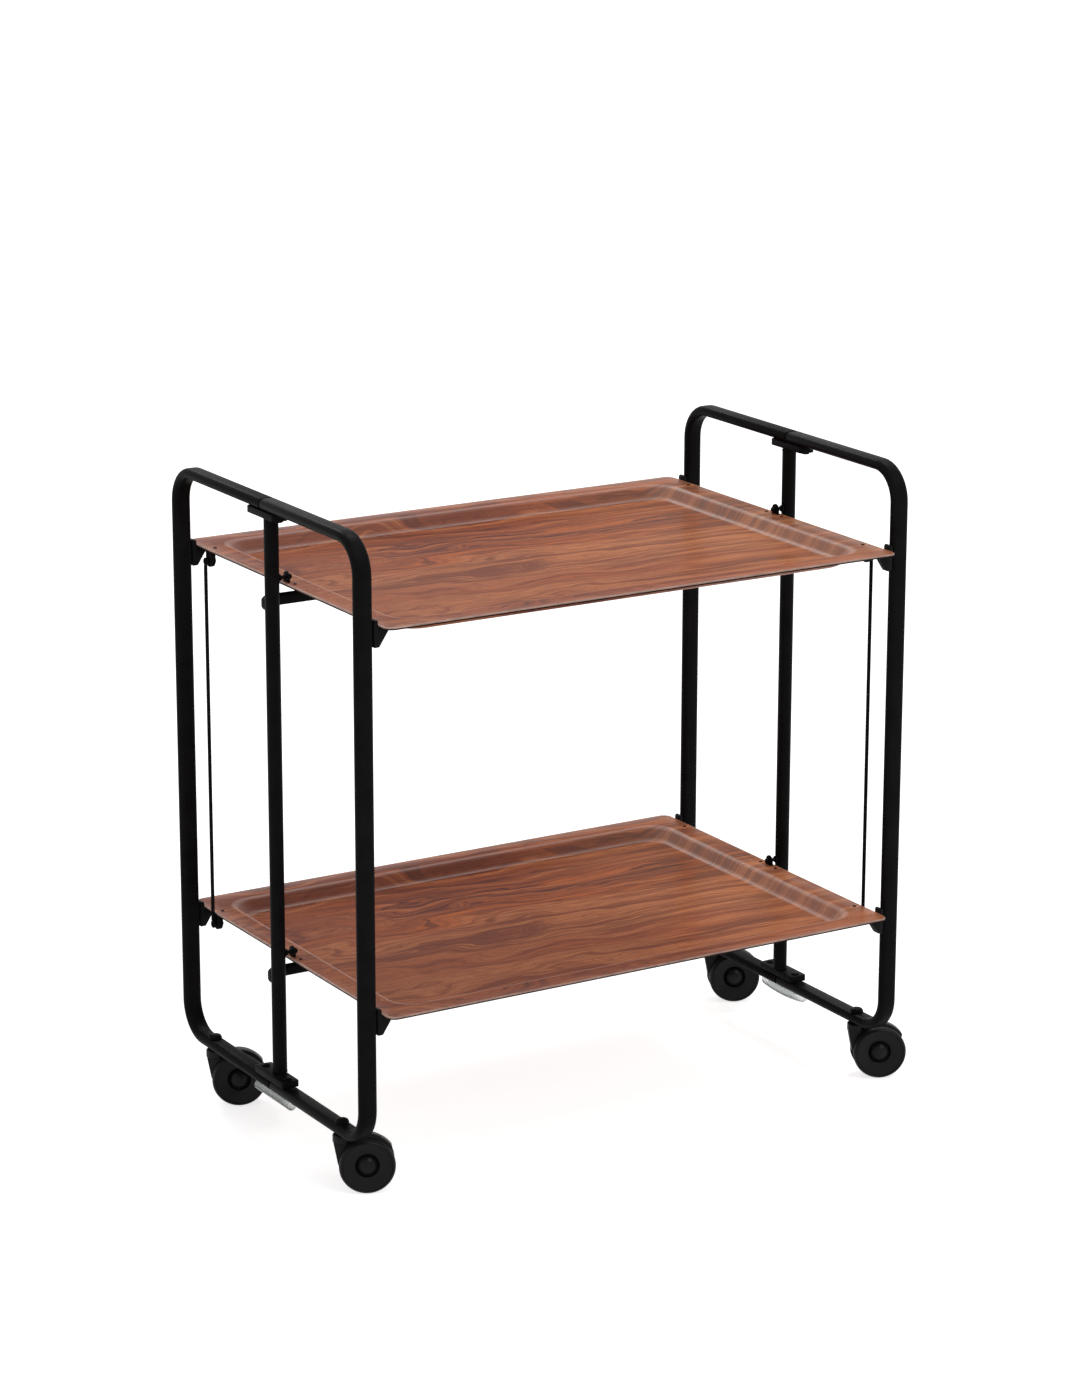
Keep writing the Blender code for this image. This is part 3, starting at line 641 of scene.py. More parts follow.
class TrolleyTrays(bpy.types.PropertyGroup):
    rim: length_setting("Rim width", "Flat rim between the edge and the well", 0.023)
    wall: length_setting("Wall run", "Plan width of the sloping wall of the well", 0.019)
    drop: length_setting("Well depth", "How far the well lies under the rim", 0.014)
    slope: angle_setting("Wall slope", "Steepest angle of the wall", 55.0)
    sheet: length_setting("Sheet", "Thickness of the pressed sheet", 0.003)
    corner: length_setting("Corner radius", "Radius of the sheet's four corners", 0.010)
    well: length_setting("Well corner", "Radius of the well's four corners", 0.026)
    light: colour_setting("Light grain", "Palest colour of the wood pattern", (0.475, 0.166, 0.068))
    warm: colour_setting("Warm grain", "Main colour of the wood pattern", (0.365, 0.096, 0.037))
    dark: colour_setting("Dark grain", "Colour of the growth lines", (0.085, 0.022, 0.020))
    gloss: share_setting("Roughness", "Roughness of the laminate", 0.30)


class TrolleyFrame(bpy.types.PropertyGroup):
    bend: length_setting("Bend radius", "Centre-line radius of the tube's corners", 0.036)
    bar_depth: length_setting("Cross bar depth", "Front-to-back size of the cross bars", 0.008)
    bar_bend: length_setting("Cross bar bend", "Centre-line radius at the cross bars' ends", 0.014)
    enamel: colour_setting("Enamel", "Colour of the painted tube", (0.0060, 0.0055, 0.0058))
    gloss: share_setting("Roughness", "Roughness of the enamel", 0.40)
    edge: length_setting("Edge rounding", "Rounding of plates and cut ends", 0.0008)


class TrolleyWire(bpy.types.PropertyGroup):
    wire: length_setting("Spring wire", "Radius of the spring's wire", 0.0008)
    curls: bpy.props.IntProperty(name="Curls", description="Turns of each spring", default=30)
    zinc: colour_setting("Zinc", "Colour of the plated springs", (0.58, 0.60, 0.59))
    rod: length_setting("Tie rod", "Radius of the tie rods", 0.0020)


class TrolleyCasters(bpy.types.PropertyGroup):
    plastic: colour_setting("Plastic", "Colour of forks and discs", (0.0072, 0.0067, 0.0067))
    tread: colour_setting("Tread", "Colour of the running surface", (0.012, 0.012, 0.012))
    hub: length_setting("Hub", "Radius of the domed hub cap's recess", 0.0125)
    collar: length_setting("Collar", "Radius of the fork's collar", 0.0102)
    half: length_setting("Half width", "Half of the width over both discs", 0.0165)
    web: length_setting("Half web", "Half of the fork's thickness between the discs", 0.0055)
    web_back: length_setting("Web reach", "How far the fork reaches behind the axle", 0.0300)


class TrolleyStage(bpy.types.PropertyGroup):
    lens: bpy.props.FloatProperty(name="Lens", description="Focal length in millimetres", default=104.181)
    place: bpy.props.FloatVectorProperty(
        name="Camera", description="Where the camera stands", subtype="TRANSLATION",
        default=(-2.18392, -3.57772, 1.60989))
    yaw: angle_setting("Yaw", "Turn of the view to the right of +Y", 31.1347)
    pitch: angle_setting("Pitch", "Tilt of the view below the horizon", 15.5272)
    roll: angle_setting("Roll", "Turn about the line of sight", 0.0816)
    floor: colour_setting("Floor", "Colour of the floor", (0.68, 0.68, 0.68))


def settings(kind):
    return getattr(bpy.context.scene, "trolley_" + kind)


def finish_named(name, make, *values):
    """One material for all the pieces of a finish."""
    return bpy.data.materials.get(name) or make(name, *values)


def black():
    look = settings("frame")
    return finish_named("black_enamel", enamel, tuple(look.enamel), look.gloss)


def clip_plastic():
    return finish_named("clip_moulding", moulded, (0.0056, 0.0053, 0.0056), 0.5, 1500.0)


# Trays

# Steps in each of the two bends of a well's wall.
WALL_STEPS = 8
# A slot is this many pin diameters long to each side of its middle.
SLOT_PINS = 1.62
SLOT_WIDE = 0.0030
SLOT_DEEP = 0.02
SLOT_INSET = 0.0010
CORE_BROWN = (0.010, 0.006, 0.005)
# The pale pink below is a painted highlight along the rolled top edge.
HIGHLIGHT_PINK = (0.52, 0.33, 0.27)
CORE_SLOT, HIGHLIGHT_SLOT = 1, 2
# How much of the sheet's thickness is rolled over, above and below.
ROLL_ABOVE, ROLL_BELOW = 0.48, 0.2


class TROLLEY_OT_trays(bpy.types.Operator):
    """Press the two trays: flat rim, rounded wall and flat well"""
    bl_idname = "trolley.trays"
    bl_label = "Trays"

    def execute(self, context):
        look = settings("trays")
        wood = finish_named("rosewood_figure", rosewood, tuple(look.light), tuple(look.warm),
                            tuple(look.dark), look.gloss)
        core = finish_named("laminate_edge", pressed_edge, CORE_BROWN)
        # The third finish is a painted highlight for the rolled top edge.
        highlight_finish = finish_named("worn_edge", edge_highlight_paint, HIGHLIGHT_PINK)
        for level in LEVELS:
            piece = self.sheet(level, look)
            cover(piece, wood, core, highlight_finish)
            shape_with(piece, "SOLIDIFY", thickness=look.sheet, offset=-1.0, use_even_offset=True,
                       material_offset_rim=CORE_SLOT)
            for side, sign in SIDES:
                self.cut_slot(piece, level, side, sign)
            self.round_edge(piece, look)
            dress(piece, f"{level}_tray", f"{level}_tray", angle=40.0)
        return {"FINISHED"}

    def sheet(self, level, look):
        """The top surface of one tray, drawn down from a rounded rectangle."""
        low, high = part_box(f"{level}_tray")
        place = Vector(((low.x + high.x) / 2, (low.y + high.y) / 2, high.z))
        piece = start(bpy.ops.mesh.primitive_plane_add, f"{level}_tray_sheet", size=1, location=place)
        grow((high.x - low.x, high.y - low.y, 1.0), place)
        bpy.ops.mesh.bevel(offset=look.corner, offset_type="OFFSET", segments=8, affect="VERTICES")
        bpy.ops.mesh.select_all(action="SELECT")
        # A narrow ring beside each bend keeps the flats flat.
        support = look.sheet / 4
        self.narrow(piece, look.rim - support, 0.0, look.corner, look.well - look.corner)
        for run, fall in [(support, 0.0), *self.wall(look), (support, 0.0)]:
            self.narrow(piece, run, fall)
        # The first extrusion leaves the flat face it began with: the sheet is open without it.
        pick(piece, "FACE", lambda face: (face.calc_center_median() - place).length < support)
        bpy.ops.mesh.delete(type="ONLY_FACE")
        return stop(piece)

    def wall(self, look):
        """Inset and drop of each ring down the wall: an arc, a straight slope and a second arc."""
        sine, cosine = math.sin(look.slope), math.cos(look.slope)
        # Two arcs of one radius and a straight line between them fill the wall's run and drop.
        radius = (look.wall - look.drop * cosine / sine) / (2 * sine - 2 * (1 - cosine) * cosine / sine)
        turns = [look.slope * step / WALL_STEPS for step in range(WALL_STEPS + 1)]
        places = [(radius * math.sin(turn), radius * (1 - math.cos(turn))) for turn in turns]
        places += [(look.wall - run, look.drop - fall) for run, fall in reversed(places)]
        return [(next_run - run, next_fall - fall)
                for (run, fall), (next_run, next_fall) in zip(places, places[1:])]

    def narrow(self, piece, inset, fall, corner=0.0, wider=0.0):
        """Extrude the inner face, and draw its four quarters inwards and down; a corner may grow wider."""
        bpy.ops.mesh.extrude_region()
        form = bmesh.from_edit_mesh(piece.data)
        places = {vert.index: vert.co.copy() for vert in form.verts if vert.select}
        for signs in QUARTERS:
            quarter = [number for number, place in places.items()
                       if place.x * signs[0] > 0 and place.y * signs[1] > 0]
            pick(piece, "VERT", lambda vert: vert.index in quarter)
            if wider:
                hub = [sign * (max(places[number][axis] * sign for number in quarter) - corner)
                       for axis, sign in enumerate(signs)]
                factor = 1 + wider / corner
                grow((factor, factor, 1.0), (*hub, places[quarter[0]].z))
            shift = inset + wider
            bpy.ops.transform.translate(value=(-signs[0] * shift, -signs[1] * shift, -fall))
        pick(piece, "VERT", lambda vert: vert.index in places)
        bpy.ops.mesh.select_mode(type="FACE")

    def cut_slot(self, piece, level, side, sign):
        """The slot in one end of the rim that the pivot ear stands through."""
        low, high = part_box(f"{level}_{side}_pivot_ear")
        pin_low, pin_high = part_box(f"{level}_{side}_pivot_pin")
        half = (pin_high.z - pin_low.z) * SLOT_PINS
        place = (outer_x(low, high, sign) - sign * SLOT_INSET, (low.y + high.y) / 2,
                 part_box(f"{level}_tray")[1].z)
        cutter = start(bpy.ops.mesh.primitive_cube_add, f"{level}_{side}_slot", size=1, location=place)
        grow((SLOT_WIDE, 2 * half, SLOT_DEEP), place)
        stop(cutter)
        shape_with(piece, "BOOLEAN", operation="DIFFERENCE", solver="EXACT", object=cutter)
        bpy.data.objects.remove(cutter, do_unlink=True)

    def round_edge(self, piece, look):
        """Roll the outer edge over, more above than below."""
        corner = look.corner
        xs, ys, zs = zip(*(vert.co for vert in piece.data.vertices))
        middle_x, middle_y = (min(xs) + max(xs)) / 2, (min(ys) + max(ys)) / 2
        half_x, half_y = (max(xs) - min(xs)) / 2, (max(ys) - min(ys)) / 2
        top = max(zs)

        def on_edge(place, level):
            """Whether a point lies on the outer outline at one level."""
            x = abs(place.x - middle_x) - (half_x - corner)
            y = abs(place.y - middle_y) - (half_y - corner)
            reach = math.hypot(max(x, 0.0), max(y, 0.0)) if x > 0 or y > 0 else max(x, y)
            return abs(reach - corner) < corner * 0.02 and abs(place.z - level) < look.sheet / 50

        reopen(piece)
        # The upper roll takes the painted highlight, and the lower one the dark core.
        for level, roll, segments, slot in ((top, ROLL_ABOVE, 4, HIGHLIGHT_SLOT),
                                            (top - look.sheet, ROLL_BELOW, 2, CORE_SLOT)):
            pick(piece, "EDGE", lambda edge: all(on_edge(vert.co, level) for vert in edge.verts))
            bpy.ops.mesh.bevel(offset=look.sheet * roll, offset_type="OFFSET", segments=segments,
                               affect="EDGES")
            piece.active_material_index = slot
            bpy.ops.object.material_slot_assign()
        bpy.ops.object.mode_set(mode="OBJECT")


# Tube frames, posts and cross bars

# Air between the bottom bars and the hinge plates on them.
PLATE_GAP = 0.0003
# The weld's bead stands out by this share of the post's radius.
BEAD = 0.05
# The weld at each end of a post: how much of its bead stands out, and how far from the end.
WELD = ((0.0, 0.0), (1.0, 0.0004), (0.8, 0.0014), (0.0, 0.0026), (0.0, 0.004))


class TROLLEY_OT_half_frames(bpy.types.Operator):
    """Bend the four half frames from flat-oval tube"""
    bl_idname = "trolley.half_frames"
    bl_label = "Half frames"

    def execute(self, context):
        look = settings("frame")
        low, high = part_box("left_front_half_frame")
        rear_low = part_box("left_rear_half_frame")[0]
        plate_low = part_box("left_bottom_hinge_plate")[0]
        thin = (plate_low.z - PLATE_GAP - low.z) / 2
        centre = Vector(((low.x + high.x) / 2, high.y, low.z + thin))
        turn_y = low.y + thin + look.bend
        top = high.z - thin
        piece = stadium("left_front_half_frame_tube", centre, (high.x - low.x) / 2, thin, 0, 40)
        pull((0.0, turn_y - centre.y, 0.0))
        bend(90.0, (centre.x, turn_y, centre.z + look.bend), RIGHT, 12)
        pull((0.0, 0.0, top - centre.z - 2 * look.bend))
        bend(90.0, (centre.x, turn_y, top - look.bend), RIGHT, 12)
        pull((0.0, centre.y - turn_y, 0.0))
        stop(piece)
        soften(piece, look.edge, 3, 60.0)
        rear = mirrored(piece, "left_rear_half_frame_tube", 1, (high.y + rear_low.y) / 2)
        for name, tube in (("left_front", piece), ("left_rear", rear),
                           ("right_front", mirrored(piece, "right_front_half_frame_tube", 0, centre_x())),
                           ("right_rear", mirrored(rear, "right_rear_half_frame_tube", 0, centre_x()))):
            dress(tube, "frame", f"{name}_half_frame", black())
        return {"FINISHED"}


class TROLLEY_OT_posts(bpy.types.Operator):
    """Set the middle posts and the cross bars between them"""
    bl_idname = "trolley.posts"
    bl_label = "Posts and cross bars"

    def execute(self, context):
        look = settings("frame")
        for side, _ in SIDES:
            self.post(f"{side}_middle_post")
        for level in LEVELS:
            self.bar(f"{level}_cross_bar", look)
        return {"FINISHED"}

    def post(self, name):
        """A round post, flared by its weld at both ends."""
        low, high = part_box(name)
        radius = (high.y - low.y) / 2
        rings = [(radius * (1 + BEAD * out), height) for out, height in WELD]
        rings += [(ring, high.z - low.z - height) for ring, height in reversed(rings)]
        place = middle(name)
        piece = turned(f"{name}_tube", rings, 40, (place.x, place.y, low.z))
        dress(piece, "frame", name, black())

    def bar(self, name, look):
        """A flat-oval bar, its ends turned forward to the posts."""
        low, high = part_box(name)
        centre_z = (low.z + high.z) / 2
        half_deep = look.bar_depth / 2
        radius = look.bar_bend
        right = middle("right_middle_post").x
        across = right - centre_x()
        turn_y = high.y - half_deep - radius
        piece = stadium(f"{name}_tube", Vector((right, low.y, centre_z)), (high.z - low.z) / 2, half_deep,
                        2, 32)
        pull((0.0, turn_y - low.y, 0.0))
        bend(-90.0, (right - radius, turn_y, centre_z), UP, 8)
        pull((-2 * (across - radius), 0.0, 0.0))
        bend(-90.0, (right - 2 * across + radius, turn_y, centre_z), UP, 8)
        pull((0.0, low.y - turn_y, 0.0))
        stop(piece)
        soften(piece, look.edge, 2, 60.0)
        dress(piece, "frame", name, black())


# Hinges and springs

PLATE_CORNER = 0.0030
RIVET_RISE = 0.0018
RIVET_COLLAR = RIVET_RISE * 0.22
RIVET_SHANK = 0.003
SPRING_ROUGHNESS = 0.22
# Sides of the spring's wire, and steps in each of its turns.
WIRE_SIDES, COIL_STEPS = 10, 22


class TROLLEY_OT_hinges(bpy.types.Operator):
    """Make the hinge plates and their rivets"""
    bl_idname = "trolley.hinges"
    bl_label = "Hinge plates and rivets"

    def execute(self, context):
        look = settings("frame")
        for side, _ in SIDES:
            for label in ("bottom", "top"):
                self.plate(f"{side}_{label}_hinge_plate", label, look)
                for end in ENDS:
                    self.pin(f"{side}_{end}_{label}_hinge_pin", label)
        return {"FINISHED"}

    def plate(self, name, label, look):
        low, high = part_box(name)
        half_x, half_y = (high.x - low.x) / 2, (high.y - low.y) / 2
        corner = PLATE_CORNER if label == "bottom" else half_x / 2
        piece = moved(plate(f"{name}_bar", rounded(half_x, half_y, corner, 7), high.z - low.z), middle(name))
        soften(piece, look.edge, 3)
        dress(piece, "frame", name, black())

    def pin(self, name, label):
        """A domed head with a slim collar, and the shank through plate and tube."""
        low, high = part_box(name)
        head = (high.x - low.x) / 2
        rings = [(RIVET_SHANK, RIVET_RISE - (high.z - low.z)), (RIVET_SHANK, 0.0), (head, 0.0),
                 (head, RIVET_COLLAR)]
        rings += dome(head, RIVET_COLLAR, RIVET_RISE - RIVET_COLLAR, (18, 36, 54, 72, 84))
        upward = 1.0 if label == "bottom" else -1.0
        base_z = high.z - RIVET_RISE if label == "bottom" else low.z + RIVET_RISE
        place = middle(name)
        piece = turned(f"{name}_rivet", rings, 28, (place.x, place.y, base_z), (0.0, 0.0, upward))
        dress(piece, "frame", name, black(), 30.0)


class TROLLEY_OT_springs(bpy.types.Operator):
    """Wind the springs under the bottom hinges"""
    bl_idname = "trolley.springs"
    bl_label = "Springs"

    def execute(self, context):
        look = settings("wire")
        zinc = finish_named("bright_zinc", plated, tuple(look.zinc), SPRING_ROUGHNESS)
        for side, _ in SIDES:
            name = f"{side}_hinge_spring"
            low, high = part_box(name)
            outside = (high.x - low.x) / 2
            run = high.y - low.y - 2 * look.wire
            piece = self.coil(f"{name}_coil", outside - look.wire, run, look)
            moved(piece, ((low.x + high.x) / 2, low.y + look.wire, high.z - outside))
            sag = high.z - low.z - 2 * outside
            if sag > look.wire / 2:
                self.slacken(piece, (low.y + high.y) / 2, run, sag, look)
            dress(piece, "frame", name, zinc, 80.0)
        return {"FINISHED"}

    def coil(self, name, radius, run, look):
        """A ring of wire wound along Y, and closed at both ends."""
        piece = start(bpy.ops.mesh.primitive_circle_add, name, vertices=WIRE_SIDES, radius=look.wire,
                      fill_type="NOTHING", location=(radius, 0.0, 0.0), rotation=(math.pi / 2, 0.0, 0.0))
        bpy.ops.object.mode_set(mode="OBJECT")
        shape_with(piece, "SCREW", axis="Y", angle=2 * math.pi, screw_offset=run / look.curls,
                   iterations=look.curls, steps=COIL_STEPS, render_steps=COIL_STEPS,
                   use_merge_vertices=False)
        reopen(piece)
        selection("VERT", "SELECT")
        bpy.ops.mesh.remove_doubles(threshold=look.wire / 100)
        bpy.ops.mesh.select_all(action="DESELECT")
        bpy.ops.mesh.select_non_manifold()
        bpy.ops.mesh.fill_holes(sides=0)
        return stop(piece)

    def slacken(self, piece, middle_y, run, sag, look):
        """A slack spring hangs down most at its middle, along a parabola."""
        reopen(piece)
        pick(piece, "VERT", lambda vert: abs(vert.co.y - middle_y) < run / look.curls / 2)
        bpy.ops.transform.translate(value=(0.0, 0.0, -sag), use_proportional_edit=True,
                                    proportional_edit_falloff="INVERSE_SQUARE", proportional_size=run / 2)
        bpy.ops.object.mode_set(mode="OBJECT")


# Tray pivots and tie rods

EAR_THICK = 0.002
EAR_CORNER = 0.004
FINE_EDGE = 0.0005
# The profile of a rim rivet: radius and height over the rim.
RIM_RIVET = ((0.0019, -0.0006), (0.0021, 0.0001), (0.0019, 0.0005), (0.0012, 0.0008), (0.0005, 0.0009))
# Where the rim rivets lie from the tray's middle: over the clips, and beside the ears.
RIM_RIVETS = ((0.300, 0.170), (0.3015, 0.0145))
TONGUE_THICK = 0.006
TONGUE_FOOT = 0.002
TONGUE_INSET = 0.0006
TONGUE_EDGE = 0.0012
STUD_RADIUS = 0.0013
STUD_TIP = 0.0009
STUD_CHAMFER = 0.0006
# The profile of a stud's head: radius and height.
STUD_HEAD = ((0.0034, -0.0006), (0.0034, 0.0010), (0.0028, 0.0020), (0.0014, 0.0026))
# The eye's wire is pressed thinner than the rod, and the rod narrows where it meets the eye.
EYE_WIRE = 0.62
ROD_NECK = 0.6
ROD_TAPER = 0.002


class TROLLEY_OT_pivots(bpy.types.Operator):
    """Make the tray pivots: ears, pins with their retaining heads, and the rivets in the rims"""
    bl_idname = "trolley.pivots"
    bl_label = "Tray pivots"

    def execute(self, context):
        for level in LEVELS:
            for side, sign in SIDES:
                self.ear(level, f"{level}_{side}_pivot", sign)
                self.pin(f"{level}_{side}_pivot_pin", sign)
            self.rim_rivets(level)
        return {"FINISHED"}

    def ear(self, level, pivot, sign):
        """A pressed ear standing through the rim, on a foot under it."""
        name = f"{pivot}_ear"
        low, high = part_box(name)
        axis_z = middle(f"{pivot}_pin").z
        upright = plate(f"{name}_tab", tab_outline(high.z - axis_z, low.z - axis_z), EAR_THICK)
        stand(upright, (outer_x(low, high, sign) - sign * EAR_THICK / 2, 0.0, axis_z), RIGHT, UP)
        soften(upright, FINE_EDGE)
        outline = rounded((high.x - low.x) / 2, (high.y - low.y) / 2, EAR_CORNER, 5)
        foot = plate(f"{name}_foot", outline, EAR_THICK)
        moved(foot, ((low.x + high.x) / 2, 0.0, low.z + EAR_THICK / 2))
        soften(foot, FINE_EDGE)
        piece = joined(f"{name}_bracket", [upright, foot])
        dress(piece, f"{level}_tray", name, black())

    def pin(self, name, sign):
        """The pivot pin, from a boss on the post to a rounded head inside the ear."""
        low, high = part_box(name)
        radius = (high.z - low.z) / 2
        run = high.x - low.x
        boss = [(1.9, 0.0), (1.9, 0.0016), (1.6, 0.0022), (1.0, 0.0022)]
        head = [(1.0, 0.0032), (1.45, 0.0030), (1.5, 0.0016), (1.2, 0.0005), (0.7, 0.0)]
        rings = [(radius * wide, height) for wide, height in boss]
        rings += [(radius * wide, run - height) for wide, height in head]
        place = (outer_x(low, high, sign), middle(name).y, middle(name).z)
        piece = turned(f"{name}_stud", rings, 28, place, (-sign, 0.0, 0.0))
        dress(piece, "frame", name, black())

    def rim_rivets(self, level):
        """Small flat rivets where ears and clips are fixed through the rim."""
        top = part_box(f"{level}_tray")[1].z
        model = lathe(f"{level}_rim_rivets", RIM_RIVET, 20)
        heads = []
        for sign_x, sign_y in QUARTERS:
            for x, y in RIM_RIVETS:
                head = copied(model, f"{level}_rivet_{len(heads)}")
                heads.append(moved(head, (centre_x() + sign_x * x, sign_y * y, top)))
        bpy.data.objects.remove(model, do_unlink=True)
        piece = joined(f"{level}_rim_rivets", heads)
        dress(piece, f"{level}_tray", finish=black())


class TROLLEY_OT_tie_rods(bpy.types.Operator):
    """Bend the two tie rods and the tongues that carry them"""
    bl_idname = "trolley.tie_rods"
    bl_label = "Tie rods"

    def execute(self, context):
        look = settings("wire")
        for side, sign in SIDES:
            for level in LEVELS:
                self.tongue(level, f"{level}_{side}_rod_tongue", sign)
            self.rod(f"{side}_tie_rod", f"{side}_rod", look)
        return {"FINISHED"}

    def tongue(self, level, name, sign):
        """A drop-shaped tongue on a foot under the rim, with the pin that carries the rod."""
        low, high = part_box(name)
        half = (high.y - low.y) / 2
        axis_y = (low.y + high.y) / 2
        axis_z = low.z + half
        outer = outer_x(*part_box(f"{level}_tray"), sign) - sign * TONGUE_INSET
        inner = outer_x(low, high, -sign)
        tab = plate(f"{name}_tab", tab_outline(half, high.z - axis_z), TONGUE_THICK)
        stand(tab, (outer - sign * TONGUE_THICK / 2, axis_y, axis_z), RIGHT, UP)
        soften(tab, TONGUE_EDGE, 3)
        half_run = abs(outer - inner) / 2
        outline = [(x * half_run, y * half) for x, y in QUARTERS]
        foot = plate(f"{name}_foot", outline, TONGUE_FOOT)
        moved(foot, ((outer + inner) / 2, axis_y, high.z - TONGUE_FOOT / 2))
        soften(foot, FINE_EDGE)
        reach = abs(outer_x(low, high, sign) - outer)
        rings = [(STUD_RADIUS, -TONGUE_THICK / 2), (STUD_RADIUS, reach - STUD_CHAMFER), (STUD_TIP, reach)]
        stud = turned(f"{name}_stud", rings, 20, (outer, axis_y, axis_z), (sign, 0.0, 0.0))
        place = (outer - sign * TONGUE_THICK, axis_y, axis_z)
        head = turned(f"{name}_head", STUD_HEAD, 20, place, (-sign, 0.0, 0.0))
        piece = joined(f"{name}_bracket", [tab, foot, stud, head])
        dress(piece, f"{level}_tray", name, black())

    def rod(self, name, body, look):
        """A straight wire whose ends are curled into eyes."""
        low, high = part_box(name)
        place = middle(name)
        eye = (high.y - low.y) / 2
        wire = look.rod * EYE_WIRE
        ring = eye - wire
        parts = []
        for height in (high.z - eye, low.z + eye):
            made = start(bpy.ops.mesh.primitive_torus_add, f"{name}_eye", major_segments=32,
                         minor_segments=14, major_radius=ring, minor_radius=wire,
                         location=(place.x, place.y, height), rotation=(0.0, math.pi / 2, 0.0))
            parts.append(stop(made))
        run = high.z - low.z - 2 * (eye + ring)
        neck = look.rod * ROD_NECK
        rings = [(neck, -ROD_TAPER), (look.rod, ROD_TAPER), (look.rod, run - ROD_TAPER),
                 (neck, run + ROD_TAPER)]
        shank = turned(f"{name}_shank", rings, 20, (place.x, place.y, low.z + eye + ring))
        piece = joined(f"{name}_wire", [shank] + parts)
        dress(piece, body, name, black())


# Corner clips

# The shelf of a clip lies this far under the top of the rim, just below the sheet.
CLIP_UNDER = 0.0033
CLIP_GAP = 0.0003
CLIP_SLANT = 0.0012
CLIP_SHELF = 0.003
CLIP_EDGE = 0.0007


class TROLLEY_OT_corner_clips(bpy.types.Operator):
    """Mould the clips that hold the trays' corners to the uprights"""
    bl_idname = "trolley.corner_clips"
    bl_label = "Corner clips"

    def execute(self, context):
        for level in LEVELS:
            for side, sign in SIDES:
                for end in ENDS:
                    body = f"{level}_tray" if end == "front" else "frame"
                    self.clip(level, f"{level}_{side}_{end}_corner_clip", sign, body)
        return {"FINISHED"}

    def clip(self, level, name, sign, body):
        """A gusset with a shelf under the rim and a round-topped tab beside the tray's end."""
        low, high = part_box(name)
        tray_low, tray_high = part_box(f"{level}_tray")
        under = tray_high.z - CLIP_UNDER
        outer = outer_x(low, high, sign)
        inner = outer_x(tray_low, tray_high, sign) + sign * CLIP_GAP
        shelf = outer_x(low, high, -sign)
        radius = abs(outer - inner) / 2
        shoulder = high.z - radius
        first, last = (30, 150) if sign > 0 else (150, 30)
        outline = [(outer, low.z), (outer, shoulder)]
        outline += arc((outer - sign * radius, shoulder), radius, first, last, 4)
        outline += [(inner, shoulder), (inner, under), (shelf, under), (shelf, under - CLIP_SHELF),
                    (inner - sign * CLIP_SLANT, low.z)]
        piece = plate(f"{name}_moulding", outline, high.y - low.y)
        stand(piece, (0.0, (low.y + high.y) / 2, 0.0), (0.0, -1.0, 0.0), UP)
        soften(piece, CLIP_EDGE)
        dress(piece, body, name, clip_plastic())


# Casters

# Profiles of a disc, as steps from its radius, its faces and its hub.
DISC_INSIDE = ((-0.0030, 0.0), (-0.0012, 0.0003), (-0.0002, 0.0016), (0.0, 0.0032))
DISC_OUTSIDE = ((0.0, -0.0046), (-0.0004, -0.0028), (-0.0012, -0.0012), (-0.0022, -0.0003),
                (-0.0030, 0.0), (-0.0034, -0.0004), (-0.0038, -0.0012))
DISC_RECESS = ((0.0010, 0.0), (0.0003, -0.0004), (0.0, -0.0014), (-0.0002, -0.0034),
               (-0.0012, -0.0040), (-0.0016, -0.0036))
# A point on the way down into the dish: its place as a share of the disc's radius, and its depth.
DISH_PLACE = 0.68
DISH_DEPTH = 0.0034
HUB_FACE = 0.0052
CAP_GAP = 0.0018
CAP_BASE = 0.0032
CAP_CROWN = 0.0080
AXLE_RADIUS = 0.0026
AXLE_GAP = 0.0005
AXLE_SPARE = 0.001
TREAD_DEPTH = 0.0015
COLLAR_TALL = 0.0090
# Profiles of the collar's foot and top, as steps from its radius and from each end.
COLLAR_FOOT = ((-0.0012, 0.0), (0.0, 0.0010))
COLLAR_TOP = ((0.0, -0.0012), (-0.0008, -0.0003), (-0.002, 0.0))
COLLAR_BORE = 0.0046
STEM_RADIUS = 0.0040
STEM_CHAMFER = 0.0003
FORK_BOSS = 0.0090
# The web starts behind the stem, at this share of the collar's radius.
FORK_REAR = 0.92
FORK_EDGE = 0.0008
FORK_OVER = 0.0024
FORK_NOSE = 0.0018
FORK_TOP = 0.0006
WASHER_TALL = 0.0008
NUT_FOOT = 0.0010
# Radius of the nut's side and of the foot of its dome, as shares of the washer's.
NUT_SIDE, NUT_DOME = 0.93, 0.9
# Where the side ends and the dome begins, as shares of the nut's height.
NUT_SIDE_TOP, NUT_DOME_FOOT = 0.35, 0.5


